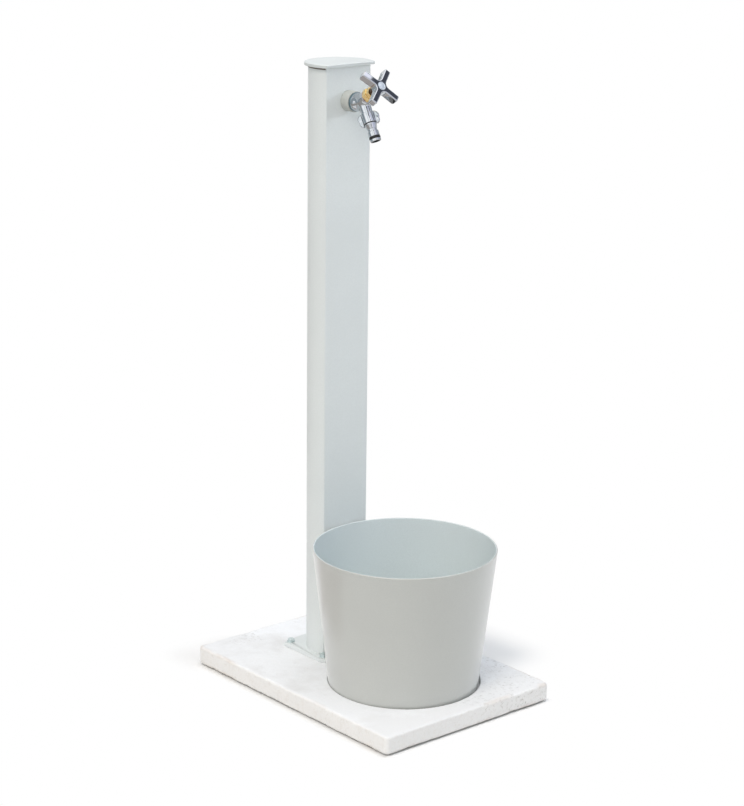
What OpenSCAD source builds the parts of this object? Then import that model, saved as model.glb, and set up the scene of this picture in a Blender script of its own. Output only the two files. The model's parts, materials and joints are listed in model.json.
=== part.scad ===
// Garden standpipe: a D-section column on a slab, with a cross-handle tap and a catch pot.
// Units are millimetres. The origin is on the ground under the slab's centre, +Z is up, the front is -Y.

/* [Slab] */
// Length of the slab, front to back
slab_l = 478; // [440:1:560]
// Width of the slab
slab_w = 343; // [320:1:420]
// Thickness of the slab
slab_t = 30.5; // [28:0.5:45]
// Radius of the slab's upright corners
slab_corner_r = 8; // [3:0.5:15]
// Rounding of the slab's top edges
slab_edge_r = 5; // [1:0.5:6]
// Thickness of the rubber pads under the slab
pad_t = 2.5; // [1.5:0.1:4]
// Radius of the pads
pad_r = 15; // [10:0.5:22]
// Distance of the pads' centres from the slab's sides
pad_inset = 30; // [26:1:60]

/* [Column] */
// Distance of the column's axis behind the slab's centre
column_back = 88.5; // [80:0.5:100]
// Outer radius of the column's round back
column_r = 49; // [44:0.5:54]
// Distance from the column's axis to its flat front
column_flat = 21.5; // [20:0.5:26]
// Rounding of the column's two upright edges
column_edge_r = 2; // [0.5:0.1:4]
// Wall of the column
column_wall = 2.5; // [2:0.1:3.5]
// Length of the column between its flange and its cap
column_l = 956; // [800:1:1200]
// Radius of the bore in each screw port of the column
port_bore_r = 2.1; // [1.6:0.1:2.6]
// Wall of each screw port
port_wall = 2.4; // [1.5:0.1:3]
// Distance of the screw ports from the middle plane
port_x = 33; // [30:0.5:35]

/* [Cap] */
// Thickness of the cap's plate
cap_t = 5; // [3:0.5:10]
// Overhang of the cap beyond the column
cap_lip = 6; // [2:0.5:12]
// Rounding of the cap's edges
cap_edge_r = 1; // [0.4:0.1:1.4]
// Depth of the cap's plug inside the column
plug_depth = 14; // [8:1:30]
// Wall of the cap's plug
plug_wall = 2; // [1.5:0.1:3]

/* [Base flange] */
// Width of the base flange
flange_w = 123; // [118:1:150]
// Depth of the base flange
flange_d = 110; // [106:1:116]
// Thickness of the base flange
flange_t = 6; // [5:0.5:10]
// Bow of the flange's rear edge
flange_bow = 8; // [2:0.5:12]
// Radius of the flange's front corners
flange_corner_r = 12; // [4:0.5:14]
// Bolt spacing across the flange
bolt_x = 100; // [96:1:102]
// Bolt spacing along the flange
bolt_y = 85; // [80:1:86]
// Radius of the bolt shanks
bolt_r = 3; // [2.5:0.1:4]
// Length of the bolts under the head
bolt_l = 24; // [16:1:26]
// Width across the flats of the bolt heads
bolt_head_af = 10; // [8:0.5:13]
// Thickness of the bolt heads
bolt_head_t = 4; // [2.5:0.1:6]
// Radius of the bolt washers
washer_r = 6.4; // [6:0.1:8]
// Thickness of the bolt washers
washer_t = 1.2; // [0.8:0.1:2]
// Outer radius of the anchor sleeves in the slab
anchor_r = 5; // [4.5:0.1:6]
// Length of the anchor sleeves
anchor_l = 22; // [14:1:25]
// Length of the screws that hold the flange to the column
port_screw_l = 22; // [14:1:40]

/* [Supply pipe] */
// Outer radius of the supply pipe
pipe_r = 11; // [9:0.5:12]
// Wall of the supply pipe
pipe_wall = 2.7; // [1.5:0.1:4]
// Bore radius of the threaded inlet under the slab
inlet_r = 9.5; // [8:0.1:10.5]
// Depth of the threaded inlet
inlet_l = 14; // [10:0.5:16]
// Wall of the pipe sockets
socket_wall = 3.5; // [2.5:0.1:5]
// Height of the inlet's mouth above the ground
inlet_rise = 2; // [1:0.5:5]
// Length of pipe held in each socket
socket_l = 12; // [9:0.5:15]

/* [Collar] */
// Distance of the tap's inlet below the cap
tap_drop = 53; // [40:1:300]
// Outer radius of the painted collar behind the tap
collar_r = 16.3; // [15.5:0.1:22]
// Length of the collar
collar_l = 17.5; // [12:0.5:30]
// Outer radius of the elbow's threaded spigot
spigot_r = 13; // [12.6:0.1:14]

/* [Tap body] */
// Radius of the tap's threaded inlet shank
shank_r = 10.2; // [9.6:0.1:10.4]
// Length of the inlet shank
shank_l = 13; // [9:0.5:15]
// Radius of the tap's round bulb
bulb_r = 14.3; // [13.6:0.1:15.4]
// Width of the lip around the bulb's back
lip_w = 2.2; // [1.5:0.1:3]
// Distance from the collar to the valve's axis, along the inlet
valve_fwd = 8.5; // [7:0.5:10]
// Rise of the valve's axis above the level
valve_tilt = 31; // [25:1:38]
// Outer radius of the tap's valve socket
valve_socket_r = 10.8; // [10.4:0.1:12]
// Radius of the valve chamber
chamber_r = 8; // [7.6:0.1:8.4]
// Distance from the collar to the spout's axis, along the inlet
spout_fwd = 19; // [17:0.5:21]
// Lean of the spout from the upright
spout_tilt = 28.5; // [20:0.5:34]
// Outer radius of the spout where its coupling nut starts
spout_r = 9; // [8.6:0.1:9.6]
// Growth of the spout's radius towards the valve
spout_flare = 0.8; // [0:0.1:1.2]
// Radius of the waterway inside the spout
spout_bore_r = 6; // [5:0.1:6.6]
// Length of the spout
spout_l = 25; // [23:0.5:40]

/* [Valve] */
// Width across the flats of the bonnet's hexagon
bonnet_af = 19.6; // [19:0.1:22]
// Thickness of the bonnet's hexagon
bonnet_hex_t = 8; // [6:0.5:8.5]
// Width across the flats of the gland nut
gland_af = 17.4; // [16.6:0.1:20]
// Radius of the spindle's screwed part
thread_r = 6; // [5.4:0.1:6.4]
// Radius of the spindle's stem
stem_r = 4; // [3.6:0.1:4.3]
// Radius of the jumper valve's disc
jumper_r = 6.8; // [6.4:0.1:7.2]
// Lift of the jumper valve from shut to open
valve_lift = 4.5; // [2:0.1:4.5]

/* [Cross handle] */
// Distance from the valve's crossing point to the handle's top face
handle_top = 61; // [60:0.5:70]
// Reach of each handle arm from the axis
arm_reach = 33.6; // [28:0.1:40]
// Width of the handle's arms
arm_w = 9.6; // [7:0.1:11]
// Depth of the handle's arms
arm_d = 14; // [11:0.5:15]
// Radius of the hollows between the arms
arm_fillet = 8; // [6:0.5:10]
// Radius of the handle's hub
hub_r = 8.9; // [8:0.1:10]
// Radius of the button in the handle's middle
button_r = 6.5; // [5.4:0.1:7]

/* [Hose nipple] */
// Outer radius of the coupling nut
nut_r = 10.4; // [10.3:0.1:12]
// Length of the coupling nut
nut_l = 16.5; // [15:0.5:20]
// Reach of the coupling nut's ears from its axis
ear_reach = 17; // [14:0.5:20]
// Radius of the ears' outline
ear_r = 8; // [6:0.1:8]
// Thickness of the ears
ear_t = 5.5; // [4:0.1:8]
// Reach of the claws under the ears from the nut's axis
claw_reach = 16; // [14:0.5:19]
// Radius of the claws' outline
claw_r = 6.5; // [5:0.1:7]
// Turn of the ears about the spout
ear_turn = 47; // [0:1:90]
// Length of the nipple's taper below the nut
taper_l = 9.5; // [6:0.5:14]
// Radius of the groove that a hose connector locks into
lock_r = 7.2; // [6.8:0.1:7.5]
// Length of the locking groove
lock_l = 4; // [3:0.5:6]
// Radius of the barrel that a hose connector slides over
barrel_r = 8.5; // [8:0.1:8.8]
// Length of the barrel
barrel_l = 16; // [13:0.5:24]
// Radius of the bore through the nipple
nipple_bore_r = 4; // [3.5:0.1:4.2]
// Thickness of the nipple's seal ring
seal_d = 3; // [2.4:0.1:3.2]

/* [Pot] */
// Outer radius of the pot's rim
pot_top_r = 146; // [130:1:160]
// Outer radius of the pot's base
pot_bottom_r = 119; // [105:1:126]
// Height of the pot
pot_h = 234; // [180:1:320]
// Wall of the pot
pot_wall = 3; // [2:0.1:5]
// Gap between the pot's rim and the column
pot_gap = 1.5; // [1:0.5:20]
// Depth of the pot's seat in the slab
seat_depth = 12; // [5:0.5:14]
// Gap around the pot in its seat
seat_gap = 2; // [1.5:0.1:4]

/* [Drain] */
// Bore radius of the pot's drain outlet
drain_r = 17; // [12:0.5:20]
// Wall of the drain outlet
drain_wall = 3; // [2:0.1:4]
// Radius of the drain outlet's flange inside the pot
drain_flange_r = 32; // [30:0.5:36]
// Radius of the drain's back nut
drain_nut_r = 30; // [28:0.5:33]
// Height of the drain's mouth above the ground
drain_rise = 3; // [2:0.5:6]

/* [Hidden] */
$fn = 96;
eps = 0.01;          // overshoot of cuts through a face
fit = 0.05;          // radial clearance of a piece that turns or slides in another
slip = 0.1;          // radial clearance of a piece screwed or pushed into another
hex_turned = 0.6;    // how far a hexagon's corners are turned off

// Heights of the stack, from the ground up
slab_top = pad_t + slab_t;
flange_z = slab_top;
column_z = flange_z + flange_t;
cap_z = column_z + column_l;
tap_h = cap_z - tap_drop;

// The column's section
face_y = column_back - column_flat;
wall_y = face_y + column_wall;
flange_y = column_back + (column_r - column_flat)/2;
port_r = port_bore_r + port_wall;
port_bite = 1;
inner_edge_r = 0.5;
port_front_y = -(column_flat - column_wall - port_r + port_bite);
port_back_y = sqrt((column_r - column_wall - port_r + port_bite)^2 - port_x^2);
PADS = [for (side = [-1, 1], end = [-1:1]) [side*(slab_w/2 - pad_inset), end*(slab_l/2 - pad_inset)]];
PORTS = [for (side = [-1, 1], y = [port_front_y, port_back_y]) [side*port_x, column_back + y]];
BOLTS = [for (side = [-1, 1], end = [-1, 1]) [side*bolt_x/2, flange_y + end*bolt_y/2]];

// The supply pipe and its sockets
grommet_wall = 4.5;
grommet_lip = 2;
grommet_lip_w = 3;
flange_bore_r = pipe_r + grommet_wall;
socket_r = pipe_r + socket_wall;
service_gap = 4.5;
service_r = socket_r + service_gap;
pipe_z = inlet_rise + inlet_l;
elbow_step = 13;
elbow_knuckle = 0.6;
pipe_top_z = tap_h - elbow_step;
elbow_flange_t = 4;
elbow_flange_w = 5;
elbow_flange_r = spigot_r + elbow_flange_w;
elbow_gasket_t = 2;
inlet_washer_t = 2;
spigot_l = collar_l - inlet_washer_t;
shank_room = 1;
collar_chamfer = 1;
waterway_r = 6;
waterway_stop = 3;

// The tap, measured along the inlet from the collar's front
tap_y = face_y - collar_l;
bulb_set = 2.6;
lip_proud = 0.5;
// Distances along the valve's axis, from where it crosses the inlet
seat_v = -4;
seat_rim = 1.5;
seat_r = 4.2;
seat_rim_r = 6;
seat_bore_l = 9;
socket_v = 21.5;
socket_chamfer = 0.8;
socket_rim = 1.9;
sleeve_v = 14.5;
sleeve_wall = 1.6;
sleeve_r = valve_socket_r - socket_rim;
spot_room = 0.5;
spot_r = bonnet_af/2/cos(30) + spot_room;
thread_v = 17.5;
bonnet_washer_t = 0.8;
hex_v = socket_v + bonnet_washer_t;
neck_v = hex_v + bonnet_hex_t;
neck_r = 7.5;
neck_l = 5.4;
shoulder_v = 20;
stroke_room = 0.5;
stem_bore_v = shoulder_v + valve_lift + stroke_room;
packing_wall = 1.6;
pocket_r = stem_r + packing_wall;
pocket_floor = 0.8;
pocket_v = neck_v + pocket_floor;
neck_top = neck_v + neck_l;
packing_l = 3.8;
gland_top_t = 1.6;
gland_gap = 0.5;
gland_room = 0.3;
gland_v = neck_v + gland_gap;
gland_roof = neck_top + gland_room;
gland_top = gland_roof + gland_top_t;
washer_v = seat_v + slip;
valve_washer_t = 3;
jumper_t = 2.2;
jumper_stem_r = 2.5;
jumper_stem_l = 11;
jumper_stub_r = 2;
jumper_v = washer_v + valve_washer_t;
spindle_v = jumper_v + jumper_t + 2*slip;
jumper_bore_l = jumper_stem_l + stroke_room;

// The handle, down from its top face
button_t = 1.6;
button_dome = 0.7;
handle_screw_r = 1.9;
handle_screw_head_r = 3.7;
handle_screw_head_t = 2.2;
handle_screw_l = 10;
handle_web = 2;
square_w = 6;
square_l = 8;
arm_edge_r = 1.6;
arm_v = handle_top - arm_d;
spindle_top = handle_top - button_t - handle_screw_head_t - handle_web;
square_v = spindle_top - square_l;
hub_gap = 1;
hub_taper = 1;
hub_bite = 2;
hub_v = gland_top + hub_gap;
fillet_g = (arm_w/2 + arm_fillet)*sqrt(2);

// The nipple, measured along the spout
nut_bite = 9;
nut_s = spout_l - nut_bite;
nut_end = nut_s + nut_l;
nut_lip = 5;
nut_chamfer = 0.8;
ear_drop = 8;
ear_s = nut_s + ear_drop;
claw_drop = 6.5;
claw_s = ear_s + claw_drop;
duct_r = 4.5;
duct_l = 14;
gasket_t = 1.5;
gasket_rim = 1;
nipple_s = spout_l + gasket_t;
shank_step = 1;
nipple_shank_r = lock_r + shank_step;
taper_gap = 0.4;
taper_s = nut_end + taper_gap;
taper_step = 0.7;
taper_r = nut_r - taper_step;
taper_rim = 1.5;
lock_step = 0.3;
lock_s = taper_s + taper_l;
barrel_s = lock_s + lock_l;
barrel_chamfer = 0.8;
nipple_end = barrel_s + barrel_l;
seal_end = 4;
seal_room = 0.4;
seal_groove_l = seal_d + seal_room;
seal_s = nipple_end - seal_end - seal_groove_l/2;
seal_proud = 0.2;
seal_ring_r = barrel_r + seal_proud - seal_d/2;
seal_floor_r = seal_ring_r - seal_d/2 - fit;
mouth_r = 6.6;
mouth_l = 3;

// The pot and its drain
pot_y = face_y - pot_gap - pot_top_r;
pot_z = slab_top - seat_depth;
pot_slope = (pot_top_r - pot_bottom_r)/pot_h;
seat_wall_r = pot_bottom_r + pot_slope*seat_depth + seat_gap;
drain_out_r = drain_r + drain_wall;
drain_flange_t = 2;
drain_gasket_t = 2;
drain_nut_t = 7;
drain_room = 8;
drain_hole_r = drain_nut_r + drain_room;
drain_chamfer = 1;
notch_r = 3;
notch_out = 1;
grate_rim = 1;
grate_t = 5.5;
grate_z = pot_z + pot_wall + drain_flange_t - grate_t;
grate_slot_w = 3.2;
grate_slot_gap = 6.4;

// Shared shapes

// A rectangle about the origin with round corners
module rounded_rect(w, h, r) {
  square([w - 2*r, h], center = true);
  square([w, h - 2*r], center = true);
  for (x = [-1, 1], y = [-1, 1]) translate([x*(w/2 - r), y*(h/2 - r)]) circle(r);
}

// A slab's side view, standing on the X axis, with its two top corners rounded
module round_topped(w, h, r) {
  translate([-w/2, 0]) square([w, h - r]);
  translate([r - w/2, 0]) square([w - 2*r, h]);
  for (x = [-1, 1]) translate([x*(w/2 - r), h - r]) circle(r);
}

// A circle cut by a flat front, with its two corners rounded
module d_section(r, flat, corner) {
  corner_x = sqrt((r - corner)^2 - (flat - corner)^2);
  touch_y = -r*(flat - corner)/(r - corner);
  intersection() {
    circle(r);
    translate([-r, touch_y]) square([2*r, r - touch_y]);
  }
  translate([-corner_x, -flat]) square([2*corner_x, touch_y + flat + eps]);
  for (side = [-1, 1]) translate([side*corner_x, corner - flat]) circle(corner);
}

// A ring about the Z axis, standing on the origin
module ring(outer, inner, h) {
  difference() {
    cylinder(r = outer, h = h);
    translate([0, 0, -eps]) cylinder(r = inner, h = h + 2*eps);
  }
}

// A hexagonal prism of a width across its flats
module hexagon(af, h) cylinder(r = af/2/cos(30), h = h, $fn = 6);

// A hexagonal nut with its upper corners turned off
module turned_hexagon(af, h) intersection() {
  corner_r = af/2/cos(30);
  hexagon(af, h);
  cylinder(r1 = corner_r + h - hex_turned, r2 = corner_r - hex_turned, h = h);
}

// Frames: Z of each runs along the tap's inlet, valve and spout
module on_inlet(y) translate([0, y, tap_h]) rotate([90, 0, 0]) children();
module on_valve() translate([0, tap_y - valve_fwd, tap_h]) rotate([90 - valve_tilt, 0, 0]) children();
module on_spout() translate([0, tap_y - spout_fwd, tap_h]) rotate([180 - spout_tilt, 0, 0]) children();

// The slab and what stands on it

module slab_pads() color("black")
  for (at = PADS) translate(at) cylinder(r = pad_r, h = pad_t);

module base_slab() color("whitesmoke") difference() {
  translate([0, 0, pad_t]) intersection() {
    linear_extrude(slab_t) rounded_rect(slab_w, slab_l, slab_corner_r);
    translate([0, slab_l/2, 0]) rotate([90, 0, 0])
      linear_extrude(slab_l) round_topped(slab_w, slab_t, slab_edge_r);
    translate([-slab_w/2, 0, 0]) rotate([90, 0, 90])
      linear_extrude(slab_w) round_topped(slab_l, slab_t, slab_edge_r);
  }
  translate([0, pot_y, pot_z]) cylinder(r = seat_wall_r, h = seat_depth + eps);
  translate([0, pot_y, 0]) cylinder(r = drain_hole_r, h = slab_t);
  translate([0, column_back, 0]) cylinder(r = service_r, h = slab_top + eps);
  for (at = BOLTS) translate([at.x, at.y, slab_top - anchor_l]) cylinder(r = anchor_r + slip, h = anchor_l + eps);
}

module flange_outline() {
  bow_r = flange_bow/2 + flange_w^2/(8*flange_bow);
  front = -flange_d/2;
  intersection() {
    union() {
      translate([-flange_w/2, front + flange_corner_r]) square([flange_w, flange_d]);
      translate([flange_corner_r - flange_w/2, front]) square([flange_w - 2*flange_corner_r, flange_d]);
      for (side = [-1, 1])
        translate([side*(flange_w/2 - flange_corner_r), front + flange_corner_r]) circle(flange_corner_r);
    }
    translate([0, flange_d/2 - bow_r]) circle(bow_r, $fn = 200);
  }
}

module base_flange() color("gainsboro") difference() {
  translate([0, flange_y, flange_z]) linear_extrude(flange_t) flange_outline();
  translate([0, column_back, flange_z - eps]) cylinder(r = flange_bore_r, h = flange_t + 2*eps);
  for (at = BOLTS) translate([at.x, at.y, flange_z - eps]) cylinder(r = bolt_r + 3*slip, h = flange_t + 2*eps);
  for (at = PORTS) translate([at.x, at.y, flange_z - eps]) {
    cylinder(r = port_bore_r + slip, h = flange_t + 2*eps);
    cylinder(r1 = 2*port_bore_r + slip, r2 = port_bore_r + slip, h = port_bore_r);
  }
}

module anchor_sleeves() color("silver")
  for (at = BOLTS) translate([at.x, at.y, slab_top - anchor_l]) ring(anchor_r, bolt_r + slip, anchor_l);

module flange_bolts() color("lightsteelblue")
  for (at = BOLTS) translate([at.x, at.y, column_z + washer_t]) {
    turned_hexagon(bolt_head_af, bolt_head_t);
    translate([0, 0, -bolt_l]) cylinder(r = bolt_r, h = bolt_l);
  }

module flange_washers() color("lightsteelblue")
  for (at = BOLTS) translate([at.x, at.y, column_z]) ring(washer_r, bolt_r + slip, washer_t);

module port_screws() color("silver")
  for (at = PORTS) translate([at.x, at.y, flange_z]) {
    cylinder(r1 = 2*port_bore_r, r2 = port_bore_r - fit, h = port_bore_r);
    cylinder(r = port_bore_r - fit, h = port_screw_l);
  }

// The column and its cap

module column_post() color("gainsboro") difference() {
  translate([0, 0, column_z]) linear_extrude(column_l) {
    translate([0, column_back]) difference() {
      d_section(column_r, column_flat, column_edge_r);
      d_section(column_r - column_wall, column_flat - column_wall, inner_edge_r);
    }
    for (at = PORTS) translate(at) difference() {
      circle(port_r);
      circle(port_bore_r);
    }
  }
  on_inlet(wall_y + eps) cylinder(r = spigot_r + 2*slip, h = column_wall + 2*eps);
}

module column_cap() color("gainsboro") translate([0, column_back, 0]) {
  inner = column_r - column_wall - slip;
  inner_flat = column_flat - column_wall - slip;
  translate([0, 0, cap_z]) {
    linear_extrude(cap_t - cap_edge_r) d_section(column_r + cap_lip, column_flat + cap_lip, column_edge_r);
    translate([0, 0, cap_t - cap_edge_r]) intersection() {
      linear_extrude(cap_edge_r) d_section(column_r + cap_lip, column_flat + cap_lip, column_edge_r);
      cylinder(r1 = column_r + cap_lip, r2 = column_r + cap_lip - cap_edge_r, h = cap_edge_r);
      translate([0, -column_flat - cap_lip, 0]) rotate([90, 0, 90])
        translate([0, 0, -2*column_r]) linear_extrude(4*column_r)
          polygon([[0, 0], [4*column_r, 0], [4*column_r, cap_edge_r], [cap_edge_r, cap_edge_r]]);
    }
  }
  difference() {
    translate([0, 0, cap_z - plug_depth]) linear_extrude(plug_depth) difference() {
      d_section(inner, inner_flat, inner_edge_r);
      d_section(inner - plug_wall, inner_flat - plug_wall, inner_edge_r);
    }
    for (at = PORTS) translate([at.x, at.y - column_back, cap_z - plug_depth - eps])
      cylinder(r = port_r + 2*slip, h = plug_depth + eps);
  }
}

// The supply pipe inside the column

module inlet_socket() color("silver") translate([0, column_back, inlet_rise]) difference() {
  cylinder(r = socket_r, h = inlet_l + socket_l);
  translate([0, 0, -eps]) cylinder(r = inlet_r, h = inlet_l + 2*eps);
  translate([0, 0, inlet_l]) cylinder(r = pipe_r + slip, h = socket_l + eps);
}

module riser_pipe() color("dimgray")
  translate([0, column_back, pipe_z]) ring(pipe_r, pipe_r - pipe_wall, pipe_top_z - pipe_z);

module pipe_grommet() color("black") translate([0, column_back, flange_z]) {
  ring(flange_bore_r - slip, pipe_r + slip, flange_t);
  translate([0, 0, flange_t]) ring(flange_bore_r + grommet_lip_w, pipe_r + slip, grommet_lip);
}

module riser_elbow() color("silver") difference() {
  inner_y = wall_y + elbow_gasket_t;
  union() {
    translate([0, column_back, pipe_top_z - socket_l]) cylinder(r = socket_r, h = elbow_step + socket_l);
    translate([0, column_back, tap_h]) sphere(r = socket_r + elbow_knuckle);
    on_inlet(column_back) cylinder(r = socket_r, h = column_back - inner_y);
    on_inlet(inner_y + elbow_flange_t) cylinder(r = elbow_flange_r, h = elbow_flange_t);
    on_inlet(inner_y) cylinder(r = spigot_r, h = inner_y - face_y + spigot_l);
  }
  translate([0, column_back, pipe_top_z - socket_l - eps]) cylinder(r = pipe_r + slip, h = socket_l + eps);
  translate([0, column_back, pipe_top_z - eps]) cylinder(r = pipe_r - pipe_wall, h = elbow_step + eps);
  translate([0, column_back, tap_h]) sphere(r = pipe_r - pipe_wall + elbow_knuckle);
  on_inlet(column_back) cylinder(r = pipe_r - pipe_wall, h = column_back - face_y + spigot_l + eps);
  on_inlet(tap_y + shank_l + shank_room) cylinder(r = shank_r + slip, h = shank_l + shank_room);
}

module elbow_gasket() color("black")
  on_inlet(wall_y + elbow_gasket_t) ring(elbow_flange_r, spigot_r + slip, elbow_gasket_t);

module tap_collar() color("gainsboro") on_inlet(face_y) difference() {
  union() {
    cylinder(r = collar_r, h = collar_l - collar_chamfer);
    translate([0, 0, collar_l - collar_chamfer])
      cylinder(r1 = collar_r, r2 = collar_r - collar_chamfer, h = collar_chamfer);
  }
  translate([0, 0, -eps]) cylinder(r = spigot_r + slip, h = collar_l + 2*eps);
}

module inlet_washer() color("black")
  on_inlet(tap_y + inlet_washer_t) ring(spigot_r, shank_r + slip, inlet_washer_t);

// The tap

module tap_body() color("lightgray") difference() {
  union() {
    on_inlet(tap_y + shank_l) cylinder(r = shank_r, h = shank_l + eps);
    on_inlet(tap_y) cylinder(r = bulb_r + lip_proud, h = lip_w);
    intersection() {
      on_inlet(tap_y - bulb_set) sphere(r = bulb_r);
      on_inlet(tap_y) cylinder(r = 2*bulb_r, h = 3*bulb_r);
    }
    on_valve() {
      sphere(r = valve_socket_r);
      cylinder(r = valve_socket_r, h = socket_v - socket_chamfer);
      translate([0, 0, socket_v - socket_chamfer])
        cylinder(r1 = valve_socket_r, r2 = valve_socket_r - socket_chamfer, h = socket_chamfer);
    }
    on_spout() {
      cylinder(r1 = spout_r + spout_flare, r2 = spout_r, h = nut_s);
      cylinder(r = spout_r, h = spout_l);
      sphere(r = spout_r + spout_flare);
    }
  }
  on_inlet(tap_y + shank_l + eps) cylinder(r = waterway_r, h = shank_l + eps - waterway_stop);
  on_valve() {
    translate([0, 0, seat_v - seat_rim]) difference() {
      cylinder(r = chamber_r, h = sleeve_v - seat_v + seat_rim + eps);
      translate([0, 0, -eps]) cylinder(r = seat_rim_r, h = seat_rim + eps);
    }
    translate([0, 0, seat_v - seat_bore_l]) cylinder(r = seat_r, h = seat_bore_l + eps);
    translate([0, 0, sleeve_v]) cylinder(r = sleeve_r + slip, h = socket_v);
    translate([0, 0, socket_v]) cylinder(r = spot_r, h = 2*bonnet_hex_t);
  }
  on_spout() {
    cylinder(r = duct_r, h = duct_l + eps);
    translate([0, 0, duct_l]) cylinder(r = spout_bore_r, h = spout_l - duct_l + eps);
  }
}

module bonnet_washer() color("darkred")
  on_valve() translate([0, 0, socket_v]) ring(valve_socket_r - socket_chamfer, sleeve_r + slip, bonnet_washer_t);

module bonnet() color("goldenrod") on_valve() difference() {
  union() {
    translate([0, 0, sleeve_v]) cylinder(r = sleeve_r, h = hex_v - sleeve_v + eps);
    translate([0, 0, hex_v]) turned_hexagon(bonnet_af, bonnet_hex_t);
    translate([0, 0, neck_v - eps]) cylinder(r = neck_r, h = neck_l + eps);
  }
  translate([0, 0, sleeve_v - eps]) cylinder(r = sleeve_r - sleeve_wall, h = thread_v - sleeve_v + eps);
  translate([0, 0, thread_v - eps]) cylinder(r = thread_r + fit, h = stem_bore_v - thread_v + eps);
  translate([0, 0, stem_bore_v - eps]) cylinder(r = stem_r + fit, h = neck_top);
  translate([0, 0, pocket_v]) cylinder(r = pocket_r, h = neck_top);
}

module gland_packing() color("dimgray")
  on_valve() translate([0, 0, pocket_v]) ring(pocket_r - fit, stem_r + fit, packing_l);

module gland_nut() color("goldenrod") on_valve() difference() {
  translate([0, 0, gland_v]) turned_hexagon(gland_af, gland_top - gland_v);
  difference() {
    translate([0, 0, gland_v - eps]) cylinder(r = neck_r + slip, h = gland_roof - gland_v + eps);
    translate([0, 0, pocket_v + packing_l]) cylinder(r = pocket_r - slip, h = neck_top);
  }
  translate([0, 0, gland_v - eps]) cylinder(r = stem_r + fit, h = gland_top);
}

module spindle() color("goldenrod") on_valve() difference() {
  union() {
    translate([0, 0, spindle_v]) cylinder(r = thread_r, h = shoulder_v - spindle_v);
    translate([0, 0, shoulder_v - eps]) cylinder(r = stem_r, h = square_v - shoulder_v + eps);
    translate([-square_w/2, -square_w/2, square_v - eps]) cube([square_w, square_w, square_l + eps]);
  }
  translate([0, 0, spindle_v - eps]) cylinder(r = jumper_stem_r + fit, h = jumper_bore_l);
  translate([0, 0, spindle_top - handle_screw_l]) cylinder(r = handle_screw_r, h = handle_screw_l + eps);
}

module jumper_valve() color("goldenrod") on_valve() translate([0, 0, jumper_v]) {
  translate([0, 0, -valve_washer_t]) cylinder(r = jumper_stub_r, h = valve_washer_t + eps);
  cylinder(r = jumper_r, h = jumper_t);
  cylinder(r = jumper_stem_r, h = jumper_t + jumper_stem_l);
}

module valve_washer() color("black")
  on_valve() translate([0, 0, washer_v]) ring(jumper_r, jumper_stub_r + fit, valve_washer_t);

module arm_envelope() rotate_extrude() {
  top_r = 2.5;
  low_r = 5;
  square([arm_reach - low_r, arm_d]);
  translate([0, low_r]) square([arm_reach, arm_d - low_r - top_r]);
  square([arm_reach - top_r - low_r, arm_d]);
  translate([arm_reach - low_r, low_r]) circle(low_r);
  translate([arm_reach - top_r, arm_d - top_r]) circle(top_r);
  translate([0, low_r]) square([arm_reach - top_r, arm_d - low_r]);
}

module cross_handle() color("silver") on_valve() difference() {
  union() {
    translate([0, 0, arm_v]) intersection() {
      union() {
        for (turn = [45, 135]) rotate([0, 0, turn]) translate([-arm_reach, 0, arm_d/2]) rotate([90, 0, 90])
          linear_extrude(2*arm_reach) rounded_rect(arm_w, arm_d, arm_edge_r);
        linear_extrude(arm_d) difference() {
          rotate(45) square(fillet_g*sqrt(2), center = true);
          for (turn = [0:90:270]) rotate(turn) translate([fillet_g, 0]) circle(arm_fillet);
        }
      }
      difference() {
        translate([0, 0, -eps]) cylinder(r = 2*arm_reach, h = arm_d + 2*eps);
        difference() {
          translate([0, 0, -eps]) cylinder(r = 3*arm_reach, h = arm_d + 2*eps);
          arm_envelope();
        }
      }
    }
    translate([0, 0, hub_v]) cylinder(r1 = hub_r - hub_taper, r2 = hub_r, h = arm_v + hub_bite - hub_v);
  }
  translate([0, 0, hub_v - eps]) cylinder(r = stem_r + slip, h = square_v - hub_v + 2*eps);
  translate([-square_w/2 - slip, -square_w/2 - slip, square_v])
    cube([square_w + 2*slip, square_w + 2*slip, square_l]);
  translate([0, 0, spindle_top - eps]) cylinder(r = handle_screw_r + slip, h = arm_d);
  translate([0, 0, spindle_top + handle_web]) cylinder(r = handle_screw_head_r + slip, h = arm_d);
  translate([0, 0, handle_top - button_t]) cylinder(r = button_r + slip, h = arm_d);
}

module handle_screw() color("silver") on_valve() {
  translate([0, 0, spindle_top + handle_web]) cylinder(r = handle_screw_head_r, h = handle_screw_head_t - slip);
  translate([0, 0, spindle_top + handle_web - handle_screw_l])
    cylinder(r = handle_screw_r - fit, h = handle_screw_l + eps);
}

module handle_button() color("aliceblue") on_valve() translate([0, 0, handle_top - button_t]) {
  dome_r = (button_r^2 + button_dome^2)/(2*button_dome);
  cylinder(r = button_r, h = button_t);
  intersection() {
    translate([0, 0, button_t + button_dome - dome_r]) sphere(r = dome_r);
    translate([0, 0, button_t - eps]) cylinder(r = button_r, h = 2*button_dome);
  }
}

// The coupling nut and the hose nipple

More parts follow.
